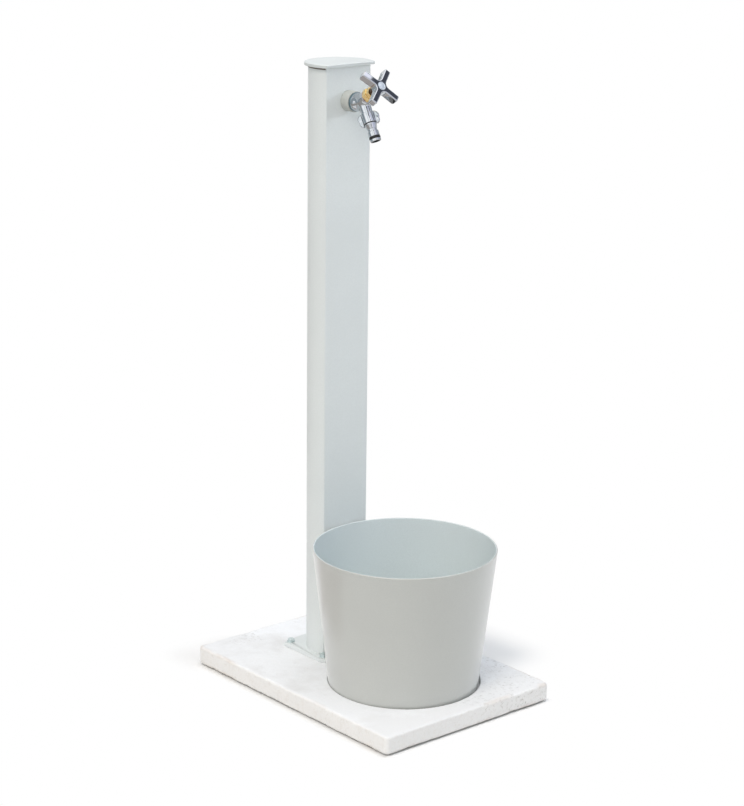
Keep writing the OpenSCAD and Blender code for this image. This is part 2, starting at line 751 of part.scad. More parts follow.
module coupling_nut() color("lightgray") on_spout() difference() {
  union() {
    translate([0, 0, nut_s]) cylinder(r1 = nut_r - nut_chamfer, r2 = nut_r, h = nut_chamfer);
    translate([0, 0, nut_s + nut_chamfer]) cylinder(r = nut_r, h = nut_l - nut_chamfer);
    for (side = [0, 180]) rotate([0, 0, ear_turn + side]) {
      translate([ear_reach - ear_r, ear_t/2, ear_s]) rotate([90, 0, 0]) cylinder(r = ear_r, h = ear_t);
      translate([claw_reach - claw_r, ear_t/2, claw_s]) rotate([90, 0, 0]) cylinder(r = claw_r, h = ear_t);
    }
  }
  translate([0, 0, nut_s - eps]) cylinder(r = spout_r + slip, h = nut_l - nut_lip + eps);
  translate([0, 0, nut_s]) cylinder(r = nipple_shank_r + slip, h = nut_l + eps);
  translate([0, 0, nut_s + nut_l]) cylinder(r = nut_r, h = 2*claw_r);
}

module nipple_gasket() color("black")
  on_spout() translate([0, 0, spout_l]) ring(spout_r, nipple_bore_r + gasket_rim, gasket_t);

module hose_nipple() color("lightgray") on_spout() difference() {
  union() {
    translate([0, 0, nipple_s]) cylinder(r = nipple_shank_r, h = taper_s - nipple_s + eps);
    translate([0, 0, taper_s]) cylinder(r = taper_r, h = taper_rim);
    translate([0, 0, taper_s + taper_rim - eps])
      cylinder(r1 = taper_r, r2 = lock_r + lock_step, h = taper_l - taper_rim + eps);
    translate([0, 0, lock_s - eps]) cylinder(r = lock_r, h = lock_l + 2*eps);
    translate([0, 0, barrel_s]) cylinder(r = barrel_r, h = barrel_l - barrel_chamfer);
    translate([0, 0, nipple_end - barrel_chamfer])
      cylinder(r1 = barrel_r, r2 = barrel_r - barrel_chamfer, h = barrel_chamfer);
  }
  translate([0, 0, seal_s - seal_groove_l/2]) ring(2*barrel_r, seal_floor_r, seal_groove_l);
  translate([0, 0, nipple_s - eps]) cylinder(r = nipple_bore_r, h = nipple_end);
  translate([0, 0, nipple_end - mouth_l]) cylinder(r1 = nipple_bore_r, r2 = mouth_r, h = mouth_l + eps);
}

module nipple_seal() color("black")
  on_spout() translate([0, 0, seal_s]) rotate_extrude() translate([seal_ring_r, 0]) circle(seal_d/2);

// The pot and its drain

module pot() color("gainsboro") translate([0, pot_y, pot_z]) difference() {
  lean = sqrt(1 + pot_slope^2)*pot_wall;
  cylinder(r1 = pot_bottom_r, r2 = pot_top_r, h = pot_h);
  translate([0, 0, pot_wall]) cylinder(r1 = pot_bottom_r - lean + pot_slope*pot_wall,
                                       r2 = pot_top_r - lean + pot_slope*eps, h = pot_h - pot_wall + eps);
  translate([0, 0, -eps]) cylinder(r = drain_out_r + 2*slip, h = 2*pot_wall);
}

module drain_outlet() color("dimgray") translate([0, pot_y, 0]) difference() {
  floor_z = pot_z + pot_wall;
  union() {
    translate([0, 0, floor_z]) cylinder(r1 = drain_flange_r, r2 = drain_flange_r - drain_chamfer, h = drain_flange_t);
    translate([0, 0, drain_rise]) cylinder(r = drain_out_r, h = floor_z - drain_rise + eps);
  }
  translate([0, 0, drain_rise - eps]) cylinder(r = drain_r, h = grate_z - drain_rise + eps);
  intersection() {
    cylinder(r = drain_r - grate_rim, h = slab_top + pot_h);
    for (row = [-2:2]) translate([-drain_r, row*grate_slot_gap - grate_slot_w/2, grate_z - eps])
      cube([2*drain_r, grate_slot_w, grate_t + 2*eps]);
  }
}

module drain_gasket() color("black")
  translate([0, pot_y, pot_z - drain_gasket_t]) ring(drain_nut_r, drain_out_r + slip, drain_gasket_t);

module drain_nut() color("dimgray")
  translate([0, pot_y, pot_z - drain_gasket_t - drain_nut_t]) difference() {
    cylinder(r = drain_nut_r, h = drain_nut_t);
    translate([0, 0, -eps]) cylinder(r = drain_out_r + slip, h = drain_nut_t + 2*eps);
    for (turn = [0:60:300]) rotate([0, 0, turn]) translate([drain_nut_r + notch_out, 0, -eps])
      cylinder(r = notch_r, h = drain_nut_t + 2*eps);
  }

slab_pads();
base_slab();
base_flange();
anchor_sleeves();
flange_bolts();
flange_washers();
port_screws();
column_post();
column_cap();
inlet_socket();
riser_pipe();
pipe_grommet();
riser_elbow();
elbow_gasket();
tap_collar();
inlet_washer();
tap_body();
bonnet_washer();
bonnet();
gland_packing();
gland_nut();
spindle();
jumper_valve();
valve_washer();
cross_handle();
handle_screw();
handle_button();
coupling_nut();
nipple_gasket();
hose_nipple();
nipple_seal();
pot();
drain_outlet();
drain_gasket();
drain_nut();
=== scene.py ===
import bpy
import json
import math
import numpy as np
from mathutils import Matrix, Vector


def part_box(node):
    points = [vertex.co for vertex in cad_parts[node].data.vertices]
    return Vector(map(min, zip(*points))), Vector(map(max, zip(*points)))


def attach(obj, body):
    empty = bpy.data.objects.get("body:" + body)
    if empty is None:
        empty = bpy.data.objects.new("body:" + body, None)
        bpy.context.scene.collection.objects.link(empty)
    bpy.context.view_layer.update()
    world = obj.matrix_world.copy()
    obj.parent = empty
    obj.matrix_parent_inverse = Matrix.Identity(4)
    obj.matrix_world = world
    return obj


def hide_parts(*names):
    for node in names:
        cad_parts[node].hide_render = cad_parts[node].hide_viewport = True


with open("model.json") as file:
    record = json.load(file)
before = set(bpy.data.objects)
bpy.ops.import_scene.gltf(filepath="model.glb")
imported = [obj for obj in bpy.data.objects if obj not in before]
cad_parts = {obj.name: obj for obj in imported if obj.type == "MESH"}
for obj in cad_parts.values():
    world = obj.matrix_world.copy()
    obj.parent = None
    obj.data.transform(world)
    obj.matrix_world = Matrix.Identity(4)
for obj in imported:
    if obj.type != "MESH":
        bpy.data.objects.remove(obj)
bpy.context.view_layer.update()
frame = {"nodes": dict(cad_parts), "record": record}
nodes = frame["nodes"]
scene = bpy.context.scene
scene.view_settings.view_transform = "Standard"
mm = 0.001
print("frame loaded:", len(nodes), "nodes")

# camera, solved from the slab, the column and the pot's rim
shot = {"place": (-2261.4, -2640.0, 1452.2), "yaw": 40.546, "pitch": 15.736, "roll": 0.633,
        "lens": 102.487, "sensor": 36, "clip": 60}


def aimCamera():
    yaw, pitch, roll = (math.radians(shot[k]) for k in ("yaw", "pitch", "roll"))
    ahead = Vector((math.sin(yaw)*math.cos(pitch), math.cos(yaw)*math.cos(pitch), -math.sin(pitch)))
    level = Vector((math.cos(yaw), -math.sin(yaw), 0))
    upright = level.cross(ahead)
    right = level*math.cos(roll) + upright*math.sin(roll)
    up = upright*math.cos(roll) - level*math.sin(roll)
    data = bpy.data.cameras.new("camera")
    data.sensor_width = shot["sensor"]
    data.lens = shot["lens"]
    data.clip_end = shot["clip"]
    camera = bpy.data.objects.new("camera", data)
    camera.matrix_world = Matrix((right, up, -ahead)).transposed().to_4x4()
    camera.location = Vector(shot["place"])*mm
    scene.collection.objects.link(camera)
    scene.camera = camera


aimCamera()


# finishes: colours are written as sRGB and sizes in mm

def linear(code):
    parts = [int(code[i:i + 2], 16)/255 for i in (0, 2, 4)]
    return [c/12.92 if c <= 0.04045 else ((c + 0.055)/1.055)**2.4 for c in parts] + [1]


def put(tree, kind, inputs, **settings):
    node = tree.nodes.new("ShaderNode" + kind)
    for name, value in settings.items():
        setattr(node, name, value)
    for name, value in inputs.items():
        if isinstance(value, bpy.types.NodeSocket):
            tree.links.new(value, node.inputs[name])
        else:
            node.inputs[name].default_value = value
    return node


def newFinish(name, **sockets):
    finish = bpy.data.materials.new(name)
    finish.use_nodes = True
    shader = finish.node_tree.nodes["Principled BSDF"]
    for socket, value in sockets.items():
        shader.inputs[socket.replace("_", " ")].default_value = value
    place = put(finish.node_tree, "TexCoord", {}).outputs["Object"]
    return finish, finish.node_tree, shader, place


def perMm(size):
    return 1/(size*mm)  # texture scale of a pattern this many mm wide


def feed(tree, shader, **outputs):
    for socket, output in outputs.items():
        tree.links.new(output, shader.inputs[socket.replace("_", " ")])


# polyester powder coat, sprayed and baked: an even satin grey with a fine orange peel
def powderCoat(name, tone, shade, peel, gloss, shine, coat=0, dust=0):
    finish, tree, shader, place = newFinish(name, Specular_IOR_Level=shine, Coat_Weight=coat, Coat_Roughness=0.25,
                                            Sheen_Weight=dust)
    cloud = put(tree, "TexNoise", {"Vector": place, "Scale": perMm(140), "Detail": 3})
    speck = put(tree, "TexNoise", {"Vector": place, "Scale": perMm(2.2), "Detail": 2})
    mixed = put(tree, "Math", {0: cloud.outputs["Fac"], 1: speck.outputs["Fac"]}, operation="MULTIPLY")
    share = put(tree, "MapRange", {"Value": mixed.outputs[0], "From Min": 0.12, "From Max": 0.4})
    colour = put(tree, "Mix", {0: share.outputs[0], 6: linear(shade), 7: linear(tone)}, data_type="RGBA")
    orange = put(tree, "TexNoise", {"Vector": place, "Scale": perMm(peel), "Detail": 2})
    bump = put(tree, "Bump", {"Height": orange.outputs["Fac"], "Strength": 0.3, "Distance": 0.06*mm})
    rough = put(tree, "MapRange", {"Value": speck.outputs["Fac"], "To Min": gloss - 0.05, "To Max": gloss + 0.07})
    feed(tree, shader, Base_Color=colour.outputs[2], Roughness=rough.outputs[0], Normal=bump.outputs[0])
    return finish


# whitewashed cast concrete: chalky white, warm where the wash is thin, with small open pits and worn edges
wash = {"top": "fafbfc", "side": "fcfbf9", "fleck": "e1e0dd", "stain": "e9e4dd", "thin": "dcdad7", "greyAndShade": "c9c8c6",
        "pit": "aba7a1", "worn": "e0d4c9", "gritSize": 2.2, "driftSize": 7, "cloudSize": 60, "patchSize": 85, "pitSize": 7,
        "frontY": -250, "middleY": -130, "rightward": 0.9, "depth": 0.45}


def whitewash():
    finish, tree, shader, place = newFinish("whitewashedConcrete", Roughness=0.9, Specular_IOR_Level=0.25)
    side = put(tree, "Attribute", {}, attribute_name="side").outputs["Fac"]
    edge = put(tree, "Attribute", {}, attribute_name="wear").outputs["Fac"]
    washed = put(tree, "Mix", {0: side, 6: linear(wash["top"]), 7: linear(wash["side"])}, data_type="RGBA")
    grit = put(tree, "TexNoise", {"Vector": place, "Scale": perMm(wash["gritSize"]), "Detail": 4, "Roughness": 0.7})
    fleck = put(tree, "MapRange", {"Value": grit.outputs["Fac"], "From Min": 0.52, "From Max": 0.78, "To Max": 0.4})
    flecked = put(tree, "Mix", {0: fleck.outputs[0], 6: washed.outputs[2], 7: linear(wash["fleck"])}, data_type="RGBA")
    drift = put(tree, "TexNoise", {"Vector": place, "Scale": perMm(wash["driftSize"]), "Detail": 5, "Roughness": 0.7})
    stain = put(tree, "MapRange", {"Value": drift.outputs["Fac"], "From Min": 0.5, "From Max": 0.72, "To Max": 0.5})
    stained = put(tree, "Math", {0: stain.outputs[0], 1: side}, operation="MULTIPLY")
    flecked = put(tree, "Mix", {0: stained.outputs[0], 6: flecked.outputs[2], 7: linear(wash["stain"])}, data_type="RGBA")
    cloud = put(tree, "TexNoise", {"Vector": place, "Scale": perMm(wash["cloudSize"]), "Detail": 5, "Roughness": 0.62})
    axes = put(tree, "SeparateXYZ", {"Vector": place})
    # painted shade: the top gets darker towards the front
    frontward = put(tree, "MapRange", {"Value": axes.outputs["Y"], "From Min": wash["frontY"]*mm,
                                     "From Max": wash["middleY"]*mm, "To Min": 0.46, "To Max": 0})
    faded = put(tree, "Math", {0: cloud.outputs["Fac"], 1: frontward.outputs[0]}, operation="ADD")
    thin = put(tree, "MapRange", {"Value": faded.outputs[0], "From Min": 0.46, "From Max": 0.74, "To Max": 0.42})
    upper = put(tree, "Math", {0: 1.0, 1: side}, operation="SUBTRACT")
    thinTop = put(tree, "Math", {0: thin.outputs[0], 1: upper.outputs[0]}, operation="MULTIPLY")
    thinned = put(tree, "Mix", {0: thinTop.outputs[0], 6: flecked.outputs[2], 7: linear(wash["thin"])}, data_type="RGBA")
    # grey marks in a patch right of the pot: partly real grey specks, partly painted shade of the pot on that side
    grey = put(tree, "MapRange", {"Value": drift.outputs["Fac"], "From Min": 0.52, "From Max": 0.76, "To Max": 0.75})
    patch = put(tree, "TexNoise", {"Vector": place, "Scale": perMm(wash["patchSize"]), "Detail": 3})
    rightward = put(tree, "Math", {0: axes.outputs["X"], 1: wash["rightward"], 2: patch.outputs["Fac"]},
                    operation="MULTIPLY_ADD")
    where = put(tree, "MapRange", {"Value": rightward.outputs[0], "From Min": 0.48, "From Max": 0.66})
    greyed = put(tree, "Math", {0: grey.outputs[0], 1: where.outputs[0]}, operation="MULTIPLY")
    greyedAndShaded = put(tree, "Mix", {0: greyed.outputs[0], 6: thinned.outputs[2], 7: linear(wash["greyAndShade"])}, data_type="RGBA")
    warped = put(tree, "MixRGB", {0: 0.012, 1: place, 2: drift.outputs["Color"]}, blend_type="ADD")
    cells = put(tree, "TexVoronoi", {"Vector": warped.outputs[0], "Scale": perMm(wash["pitSize"]), "Randomness": 1.0})
    ragged = put(tree, "Math", {0: drift.outputs["Fac"], 1: -0.7, 2: cells.outputs["Distance"]}, operation="MULTIPLY_ADD")
    hole = put(tree, "MapRange", {"Value": ragged.outputs[0], "From Min": -0.26, "From Max": -0.14,
                                  "To Min": 0.5, "To Max": 0})
    pits = put(tree, "Math", {0: hole.outputs[0], 1: where.outputs[0]}, operation="MULTIPLY")
    pitted = put(tree, "Mix", {0: pits.outputs[0], 6: greyedAndShaded.outputs[2], 7: linear(wash["pit"])}, data_type="RGBA")
    worn = put(tree, "Mix", {0: edge, 6: pitted.outputs[2], 7: linear(wash["worn"])}, data_type="RGBA")
    height = put(tree, "Math", {0: grit.outputs["Fac"], 1: pits.outputs[0]}, operation="SUBTRACT")
    bump = put(tree, "Bump", {"Height": height.outputs[0], "Strength": 0.5, "Distance": wash["depth"]*mm})
    feed(tree, shader, Base_Color=worn.outputs[2], Normal=bump.outputs[0])
    return finish


# polished metal with a thin film of handling: sharp reflections, broken by faint smears
def polishedMetal(name, tone, shade, gloss, smear, wave):
    finish, tree, shader, place = newFinish(name, Metallic=1)
    film = put(tree, "TexNoise", {"Vector": place, "Scale": perMm(smear), "Detail": 5, "Roughness": 0.6})
    share = put(tree, "MapRange", {"Value": film.outputs["Fac"], "From Min": 0.42, "From Max": 0.7})
    colour = put(tree, "Mix", {0: share.outputs[0], 6: linear(tone), 7: linear(shade)}, data_type="RGBA")
    rough = put(tree, "MapRange", {"Value": film.outputs["Fac"], "From Min": 0.3, "From Max": 0.75,
                                   "To Min": gloss, "To Max": gloss + 0.04})
    swell = put(tree, "TexNoise", {"Vector": place, "Scale": perMm(wave), "Detail": 1})
    bump = put(tree, "Bump", {"Height": swell.outputs["Fac"], "Strength": 0.15, "Distance": 0.05*mm})
    feed(tree, shader, Base_Color=colour.outputs[2], Roughness=rough.outputs[0], Normal=bump.outputs[0])
    return finish


# moulded rubber and plastics: dark, even, with a fine mould grain and pale dust
def moulded(name, tone, dust, grain, gloss):
    finish, tree, shader, place = newFinish(name)
    cloud = put(tree, "TexNoise", {"Vector": place, "Scale": perMm(12), "Detail": 4})
    share = put(tree, "MapRange", {"Value": cloud.outputs["Fac"], "From Min": 0.45, "From Max": 0.8, "To Max": 0.5})
    colour = put(tree, "Mix", {0: share.outputs[0], 6: linear(tone), 7: linear(dust)}, data_type="RGBA")
    grit = put(tree, "TexNoise", {"Vector": place, "Scale": perMm(grain), "Detail": 2})
    bump = put(tree, "Bump", {"Height": grit.outputs["Fac"], "Strength": 0.3, "Distance": 0.06*mm})
    rough = put(tree, "MapRange", {"Value": cloud.outputs["Fac"], "To Min": gloss - 0.08, "To Max": gloss + 0.1})
    feed(tree, shader, Base_Color=colour.outputs[2], Roughness=rough.outputs[0], Normal=bump.outputs[0])
    return finish


# the coat on the column, the flange and the cap
paint = {"tone": "e8edec", "shade": "e3e8e7", "peel": 1.4, "gloss": 0.44, "shine": 0.5}
finishes = {
    "slab": whitewash(),
    "paint": powderCoat("powderCoatedAluminium", **paint),
    "pot": powderCoat("powderCoatedPotSteel", "c3c5c0", "bec0bb", peel=1.8, gloss=0.34, shine=1.0, coat=0.8, dust=0.35),
    "chrome": polishedMetal("chromePlatedBrass", "c6c9cd", "bcc0c5", gloss=0.03, smear=7, wave=12),
    "button": polishedMetal("satinChromeButton", "dde5ec", "cdd7e0", gloss=0.5, smear=4, wave=6),
    "brass": polishedMetal("turnedBrass", "fbe4ac", "efcd86", gloss=0.28, smear=5, wave=12),
    "zinc": polishedMetal("zincPlatedSteel", "dfe9e8", "c6d3d3", gloss=0.3, smear=3, wave=5),
    "rubber": moulded("mouldedRubber", "09090b", "161618", grain=0.8, gloss=0.5),
    "fibre": moulded("pressedFibre", "6d2f26", "86483c", grain=0.6, gloss=0.75),
    "pipe": moulded("extrudedPolyethylene", "1d1f22", "34373a", grain=1.2, gloss=0.42),
    "drain": moulded("mouldedAbs", "3b3f42", "565b5e", grain=0.9, gloss=0.48),
}
# the lip round the tap's bulb is plated but not polished; its dark teal tone is a painted dark reflection
lipDarkReflection = polishedMetal("lipPaintedDarkReflection", "7f9299", "74878e", gloss=0.3, smear=7, wave=12)
# the handle's hub below the arms gets a dark brown tone: painted shade with a painted brown reflection of the brass
shadedHubFinish = polishedMetal("hubPaintedShade", "6f5b4c", "5d4b3e", gloss=0.16, smear=5, wave=12)
# the collar is a casting under its coat, warmer than the column; its darker tone is painted shade from the tap around
# it
collarShadedCoat = powderCoat("powderCoatedCollarPaintedShade", "c3c5bf", "bcbeb8", peel=1.4, gloss=0.44, shine=0.5)
# the pot's inside is coated without the gloss; its lighter, cooler grey is painted sky light inside the pot
potInsideLitCoat = powderCoat("powderCoatedPotInsidePaintedLight", "d9e1e1", "d3dbdb", peel=1.8, gloss=0.5, shine=0.5)
# the cap's side below its top face is darker: painted shade on the side away from the top light
capSideShadedCoat = powderCoat("powderCoatedCapPaintedSideShade", **paint)
capSideShade = {"tone": "d6dbda", "top": 998.8, "fade": 0.6}


# darkens the cap below its top face as painted shade
def shadeCapSide():
    tree = capSideShadedCoat.node_tree
    coated = tree.nodes["Principled BSDF"].inputs["Base Color"]
    axes = put(tree, "SeparateXYZ", {"Vector": put(tree, "TexCoord", {}).outputs["Object"]})
    upper = put(tree, "MapRange", {"Value": axes.outputs["Z"], "From Min": capSideShade["top"]*mm,
                                   "From Max": (capSideShade["top"] + capSideShade["fade"])*mm})
    colour = put(tree, "Mix", {0: upper.outputs[0], 6: linear(capSideShade["tone"]), 7: coated.links[0].from_socket},
                 data_type="RGBA")
    tree.links.new(colour.outputs[2], coated)


shadeCapSide()
# the collar's darker coat is painted shade; the cap's coat carries painted shade on its side
ownCoat = {"tap_collar": collarShadedCoat, "column_cap": capSideShadedCoat}
slotOf = {part["node"]: part["material_slot"] for part in frame["record"]["subparts"]}
for name, node in nodes.items():
    node.data.materials.clear()
    node.data.materials.append(ownCoat.get(name, finishes[slotOf[name]]))
print("finishes made:", len(finishes))


# forms from distance fields: points in mm, negative inside

# two depths that meet at a rounded edge
def blunt(a, b, edge):
    a, b = a + edge, b + edge
    return np.minimum(np.maximum(a, b), 0) + np.hypot(np.maximum(a, 0), np.maximum(b, 0)) - edge


def between(z, low, high):
    return np.abs(z - (low + high)/2) - (high - low)/2


def turnedBar(rho, z, r, low, high, edge):
    return blunt(rho - r, between(z, low, high), edge)


def filletJoin(a, b, r):
    return np.maximum(r, np.minimum(a, b)) - np.hypot(np.maximum(r - a, 0), np.maximum(r - b, 0))


def filletCut(a, b, r):
    return -filletJoin(-a, b, r)


def softJoin(a, b, k):
    h = np.clip(0.5 + 0.5*(b - a)/k, 0, 1)
    return b*(1 - h) + a*h - k*h*(1 - h)


# smooth noise from -1 to 1, from a hash of the cell's corners, the same each run
def grain(points, size, seed):
    cell = np.floor(points/size).astype(np.int64)
    part = points/size - cell
    part = part*part*(3 - 2*part)
    total = np.zeros(len(points))
    for corner in np.ndindex(2, 2, 2):
        at = cell + np.array(corner)
        code = (at[:, 0]*73856093) ^ (at[:, 1]*19349663) ^ (at[:, 2]*83492791) ^ (seed*2654435761)
        code = ((code ^ (code >> 13))*1274126177) & 0xffffff
        code = ((code ^ (code >> 11))*2246822519) & 0xffff
        share = np.prod(np.where(np.array(corner), part, 1 - part), axis=1)
        total += share*(code/32767.5 - 1)
    return total


def slopes(field, points, step):
    slope = np.zeros_like(points)
    for axis in range(3):
        shift = np.zeros(3)
        shift[axis] = step
        slope[:, axis] = (field(points + shift) - field(points - shift))/(2*step)
    return slope


def link(name, points, faces, normals=None):
    mesh = bpy.data.meshes.new(name)
    mesh.from_pydata((points*mm).tolist(), [], [list(f) for f in faces])
    mesh.polygons.foreach_set("use_smooth", [True]*len(mesh.polygons))
    if normals is not None:
        mesh.normals_split_custom_set_from_vertices(normals.tolist())
    piece = bpy.data.objects.new(name, mesh)
    scene.collection.objects.link(piece)
    return piece


# a closed skin of quads round a field, each corner drawn onto the surface
# steps are shares of a cell
skin = {"pulls": 4, "step": 0.1, "furthest": 0.5, "leastSlope": 0.2}


def castSkin(name, field, span, cell):
    low, high = span
    count = np.ceil((high - low)/cell).astype(int) + 1
    lines = [low[i] + cell*np.arange(count[i]) for i in range(3)]
    depth = field(np.stack(np.meshgrid(*lines, indexing="ij"), -1).reshape(-1, 3)).reshape(count)
    boxes = count - 1
    total, hits, quads = np.zeros((boxes.prod(), 3)), np.zeros(boxes.prod()), []
    for a in range(3):
        b, c = (a + 1) % 3, (a + 2) % 3
        first = np.take(depth, np.arange(count[a] - 1), axis=a)
        second = np.take(depth, np.arange(1, count[a]), axis=a)
        crossed = (first < 0) != (second < 0)
        spot = np.argwhere(crossed)
        near, far = first[crossed], second[crossed]
        point = low + cell*spot
        point[:, a] += cell*near/(near - far)
        ring = []
        for stepB, stepC in ((0, 0), (-1, 0), (-1, -1), (0, -1)):
            box = spot.copy()
            box[:, b] += stepB
            box[:, c] += stepC
            flat = np.ravel_multi_index(box.T, boxes)
            np.add.at(total, flat, point)
            np.add.at(hits, flat, 1)
            ring.append(flat)
        ring = np.stack(ring, 1)
        ring[near >= 0] = ring[near >= 0][:, ::-1]
        quads.append(ring)
    used = np.flatnonzero(hits)
    index = np.zeros(boxes.prod(), int)
    index[used] = np.arange(len(used))
    points = total[used]/hits[used, None]
    step, furthest = skin["step"]*cell, skin["furthest"]*cell
    for _ in range(skin["pulls"]):
        slope = slopes(field, points, step)
        steep = np.maximum((slope**2).sum(1), skin["leastSlope"])
        points -= np.clip(field(points)/steep, -furthest, furthest)[:, None]*slope
    slope = slopes(field, points, step)
    slope /= np.maximum(np.linalg.norm(slope, axis=1), 1e-9)[:, None]
    return link(name, points, index[np.concatenate(quads)].tolist(), slope), points


# corners (r, z, rounding) to a smooth outline with its normals
def softOutline(corners, closed, steps=5):
    line, facing = [], []
    n = len(corners)
    for i, (x, y, r) in enumerate(corners):
        here = np.array((x, y))
        if not closed and i in (0, n - 1):
            other = np.array(corners[1 if i == 0 else n - 2][:2])
            way = other - here if i == 0 else here - other
            way = way/np.linalg.norm(way)
            line.append(here)
            facing.append((way[1], -way[0]))
            continue
        back, ahead = np.array(corners[i - 1][:2]), np.array(corners[(i + 1) % n][:2])
        inWay, outWay = here - back, ahead - here
        inWay, outWay = inWay/np.linalg.norm(inWay), outWay/np.linalg.norm(outWay)
        turn = math.atan2(inWay[0]*outWay[1] - inWay[1]*outWay[0], inWay @ outWay)
        reach = r*math.tan(abs(turn)/2)
        start, normal = here - inWay*reach, np.array((inWay[1], -inWay[0]))
        centre = start - normal*r*math.copysign(1, turn)
        for k in range(steps + 1):
            angle = turn*k/steps
            c, s = math.cos(angle), math.sin(angle)
            face = np.array((normal[0]*c - normal[1]*s, normal[0]*s + normal[1]*c))
            line.append(centre + face*r*math.copysign(1, turn))
            facing.append(face)
    return np.array(line), np.array(facing)


# a turned piece: an outline spun about its axis
def turnPiece(name, corners, place, closed=True, around=128):
    line, facing = softOutline(corners, closed)
    points, normals, rows, faces = [], [], [], []
    for (r, z), (nr, nz) in zip(line, facing):
        pole = r < 1e-6
        rows.append([len(points) + (0 if pole else i) for i in range(around)])
        for i in range(1 if pole else around):
            t = 2*math.pi*i/around
            points.append((r*math.cos(t), r*math.sin(t), z))
            normals.append((nr*math.cos(t), nr*math.sin(t), nz))
    for j in range(len(rows) - (0 if closed else 1)):
        one, two = rows[j], rows[(j + 1) % len(rows)]
        for i in range(around):
            k = (i + 1) % around
            face = list(dict.fromkeys((one[i], one[k], two[k], two[i])))
            if len(face) > 2:
                faces.append(face)
    turn = np.array(place.to_3x3())
    points = np.array(points) @ turn.T + np.array(place.translation)
    return link(name, points, faces, np.array(normals) @ turn.T)


# frames of the tap: z along the valve, the spout and the inlet
def along(tilt, y, z):
    return Matrix.Translation((0, y, z)) @ Matrix.Rotation(math.radians(tilt), 4, "X")


tapAt = {"height": 942, "front": 49.5, "valveY": 41, "valveTilt": 31, "spoutY": 30.5, "spoutTilt": 28.5}
onValve = along(90 - tapAt["valveTilt"], tapAt["valveY"], tapAt["height"])
onSpout = along(180 - tapAt["spoutTilt"], tapAt["spoutY"], tapAt["height"])


def local(points, place):
    turn = np.array(place.to_3x3())
    return (points - np.array(place.translation)) @ turn


def dress(piece, body, slot, *replaced, finish=None):
    piece.data.materials.append(finish or finishes[slot])
    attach(piece, body)
    if replaced:
        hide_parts(*replaced)


# a second finish on the faces that pass a test of their middles
def lineFaces(piece, finish, test):
    middles = np.zeros(len(piece.data.polygons)*3)
    piece.data.polygons.foreach_get("center", middles)
    piece.data.materials.append(finish)
    piece.data.polygons.foreach_set("material_index", test(middles.reshape(-1, 3)/mm).astype(np.int32))


def spanOf(node, room):
    low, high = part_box(node)
    return np.array(low)/mm - room, np.array(high)/mm + room


# the slab: a cast block with uneven faces, chipped edges and a round seat
# waves and chips: height, size and seed; blots and specks of wear: size, seed, gain and offset
slab = {"w": 343, "l": 478, "low": 2.5, "top": 33, "corner": 8, "edge": 4.2, "seatR": 122.38, "seatZ": 21, "seatX": 1.2,
        "seatY": -81.4, "seatEdge": 1.2, "potY": -80.5, "drainR": 38, "serviceR": 19, "columnY": 88.5, "boltX": 50,
        "boltY": (59.75, 144.75), "anchorR": 5.1, "anchorZ": 11, "cell": 2.0, "room": 5, "band": (6, 9), "level": 5,
        "waves": ((0.35, 34, 3), (0.3, 11, 5), (0.12, 4.5, 7)), "waveShare": 0.5, "chips": ((2.4, 18, 11), (2.0, 6, 13)),
        "chipFrom": 0.05, "wearR": 7, "blots": (40, 17, 1.5, -0.15), "specks": (7, 19, 0.6, 0.7), "sideFade": 3}


def slabEdge(p):
    return blunt(np.abs(p[:, 0]) - slab["w"]/2, np.abs(p[:, 1]) - slab["l"]/2, slab["corner"])


def slabFlat(p):
    return between(p[:, 2], slab["low"], slab["top"])


def slabField(p):
    side, flat = slabEdge(p), slabFlat(p)
    out, deep = slab["band"]
    near = np.flatnonzero((side < out) & (flat < out) & (np.maximum(side, flat) > -deep))
    q = p[near]
    uneven = np.zeros(len(p))
    uneven[near] = sum(high*(grain(q, size, seed) + 1) for high, size, seed in slab["waves"])
    edge = np.full(len(p), float(slab["edge"]))
    edge[near] += sum(high*np.maximum(grain(q, size, seed) - slab["chipFrom"], 0) for high, size, seed in slab["chips"])
    d = blunt(side, flat, edge)
    d = d + uneven*np.clip((p[:, 2] - slab["low"])/slab["level"], 0, 1)*slab["waveShare"]
    toPot = np.hypot(p[:, 0], p[:, 1] - slab["potY"])
    toSeat = np.hypot(p[:, 0] - slab["seatX"], p[:, 1] - slab["seatY"])  # cast a little off the pot's middle
    d = filletCut(d, np.maximum(toSeat - slab["seatR"], slab["seatZ"] - p[:, 2]), slab["seatEdge"])
    d = np.maximum(d, slab["drainR"] - toPot)
    d = np.maximum(d, slab["serviceR"] - np.hypot(p[:, 0], p[:, 1] - slab["columnY"]))
    for y in slab["boltY"]:
        hole = np.hypot(np.abs(p[:, 0]) - slab["boltX"], p[:, 1] - y) - slab["anchorR"]
        d = np.maximum(d, -np.maximum(hole, slab["anchorZ"] - p[:, 2]))
    return d


def makeSlab():
    piece, points = castSkin("slabCasting", slabField, spanOf("base_slab", slab["room"]), slab["cell"])
    side, flat = slabEdge(points), slabFlat(points)
    ridge = np.clip(1 - np.hypot(side, flat)/slab["wearR"], 0, 1)
    worn = ridge
    for size, seed, gain, offset in (slab["blots"], slab["specks"]):
        worn = worn*np.clip(grain(points, size, seed)*gain + offset, 0, 1)
    shares = {"wear": worn, "side": np.clip((side - flat)/slab["sideFade"] + 0.5, 0, 1)}
    for name, share in shares.items():
        layer = piece.data.attributes.new(name, "FLOAT", "POINT")
        layer.data.foreach_set("value", share.astype(np.float32))
    dress(piece, "stand", "slab", "base_slab")


makeSlab()
print("slab cast")


# the pot: a spun bucket with a round rim
pot = {"y": -80.5, "z": 21, "h": 234, "top": 146, "bottom": 119, "wall": 3, "drain": 20.2, "drainEdge": 0.4, "rim": 1.45,
       "foot": 3, "floorEdge": 5, "around": 192}


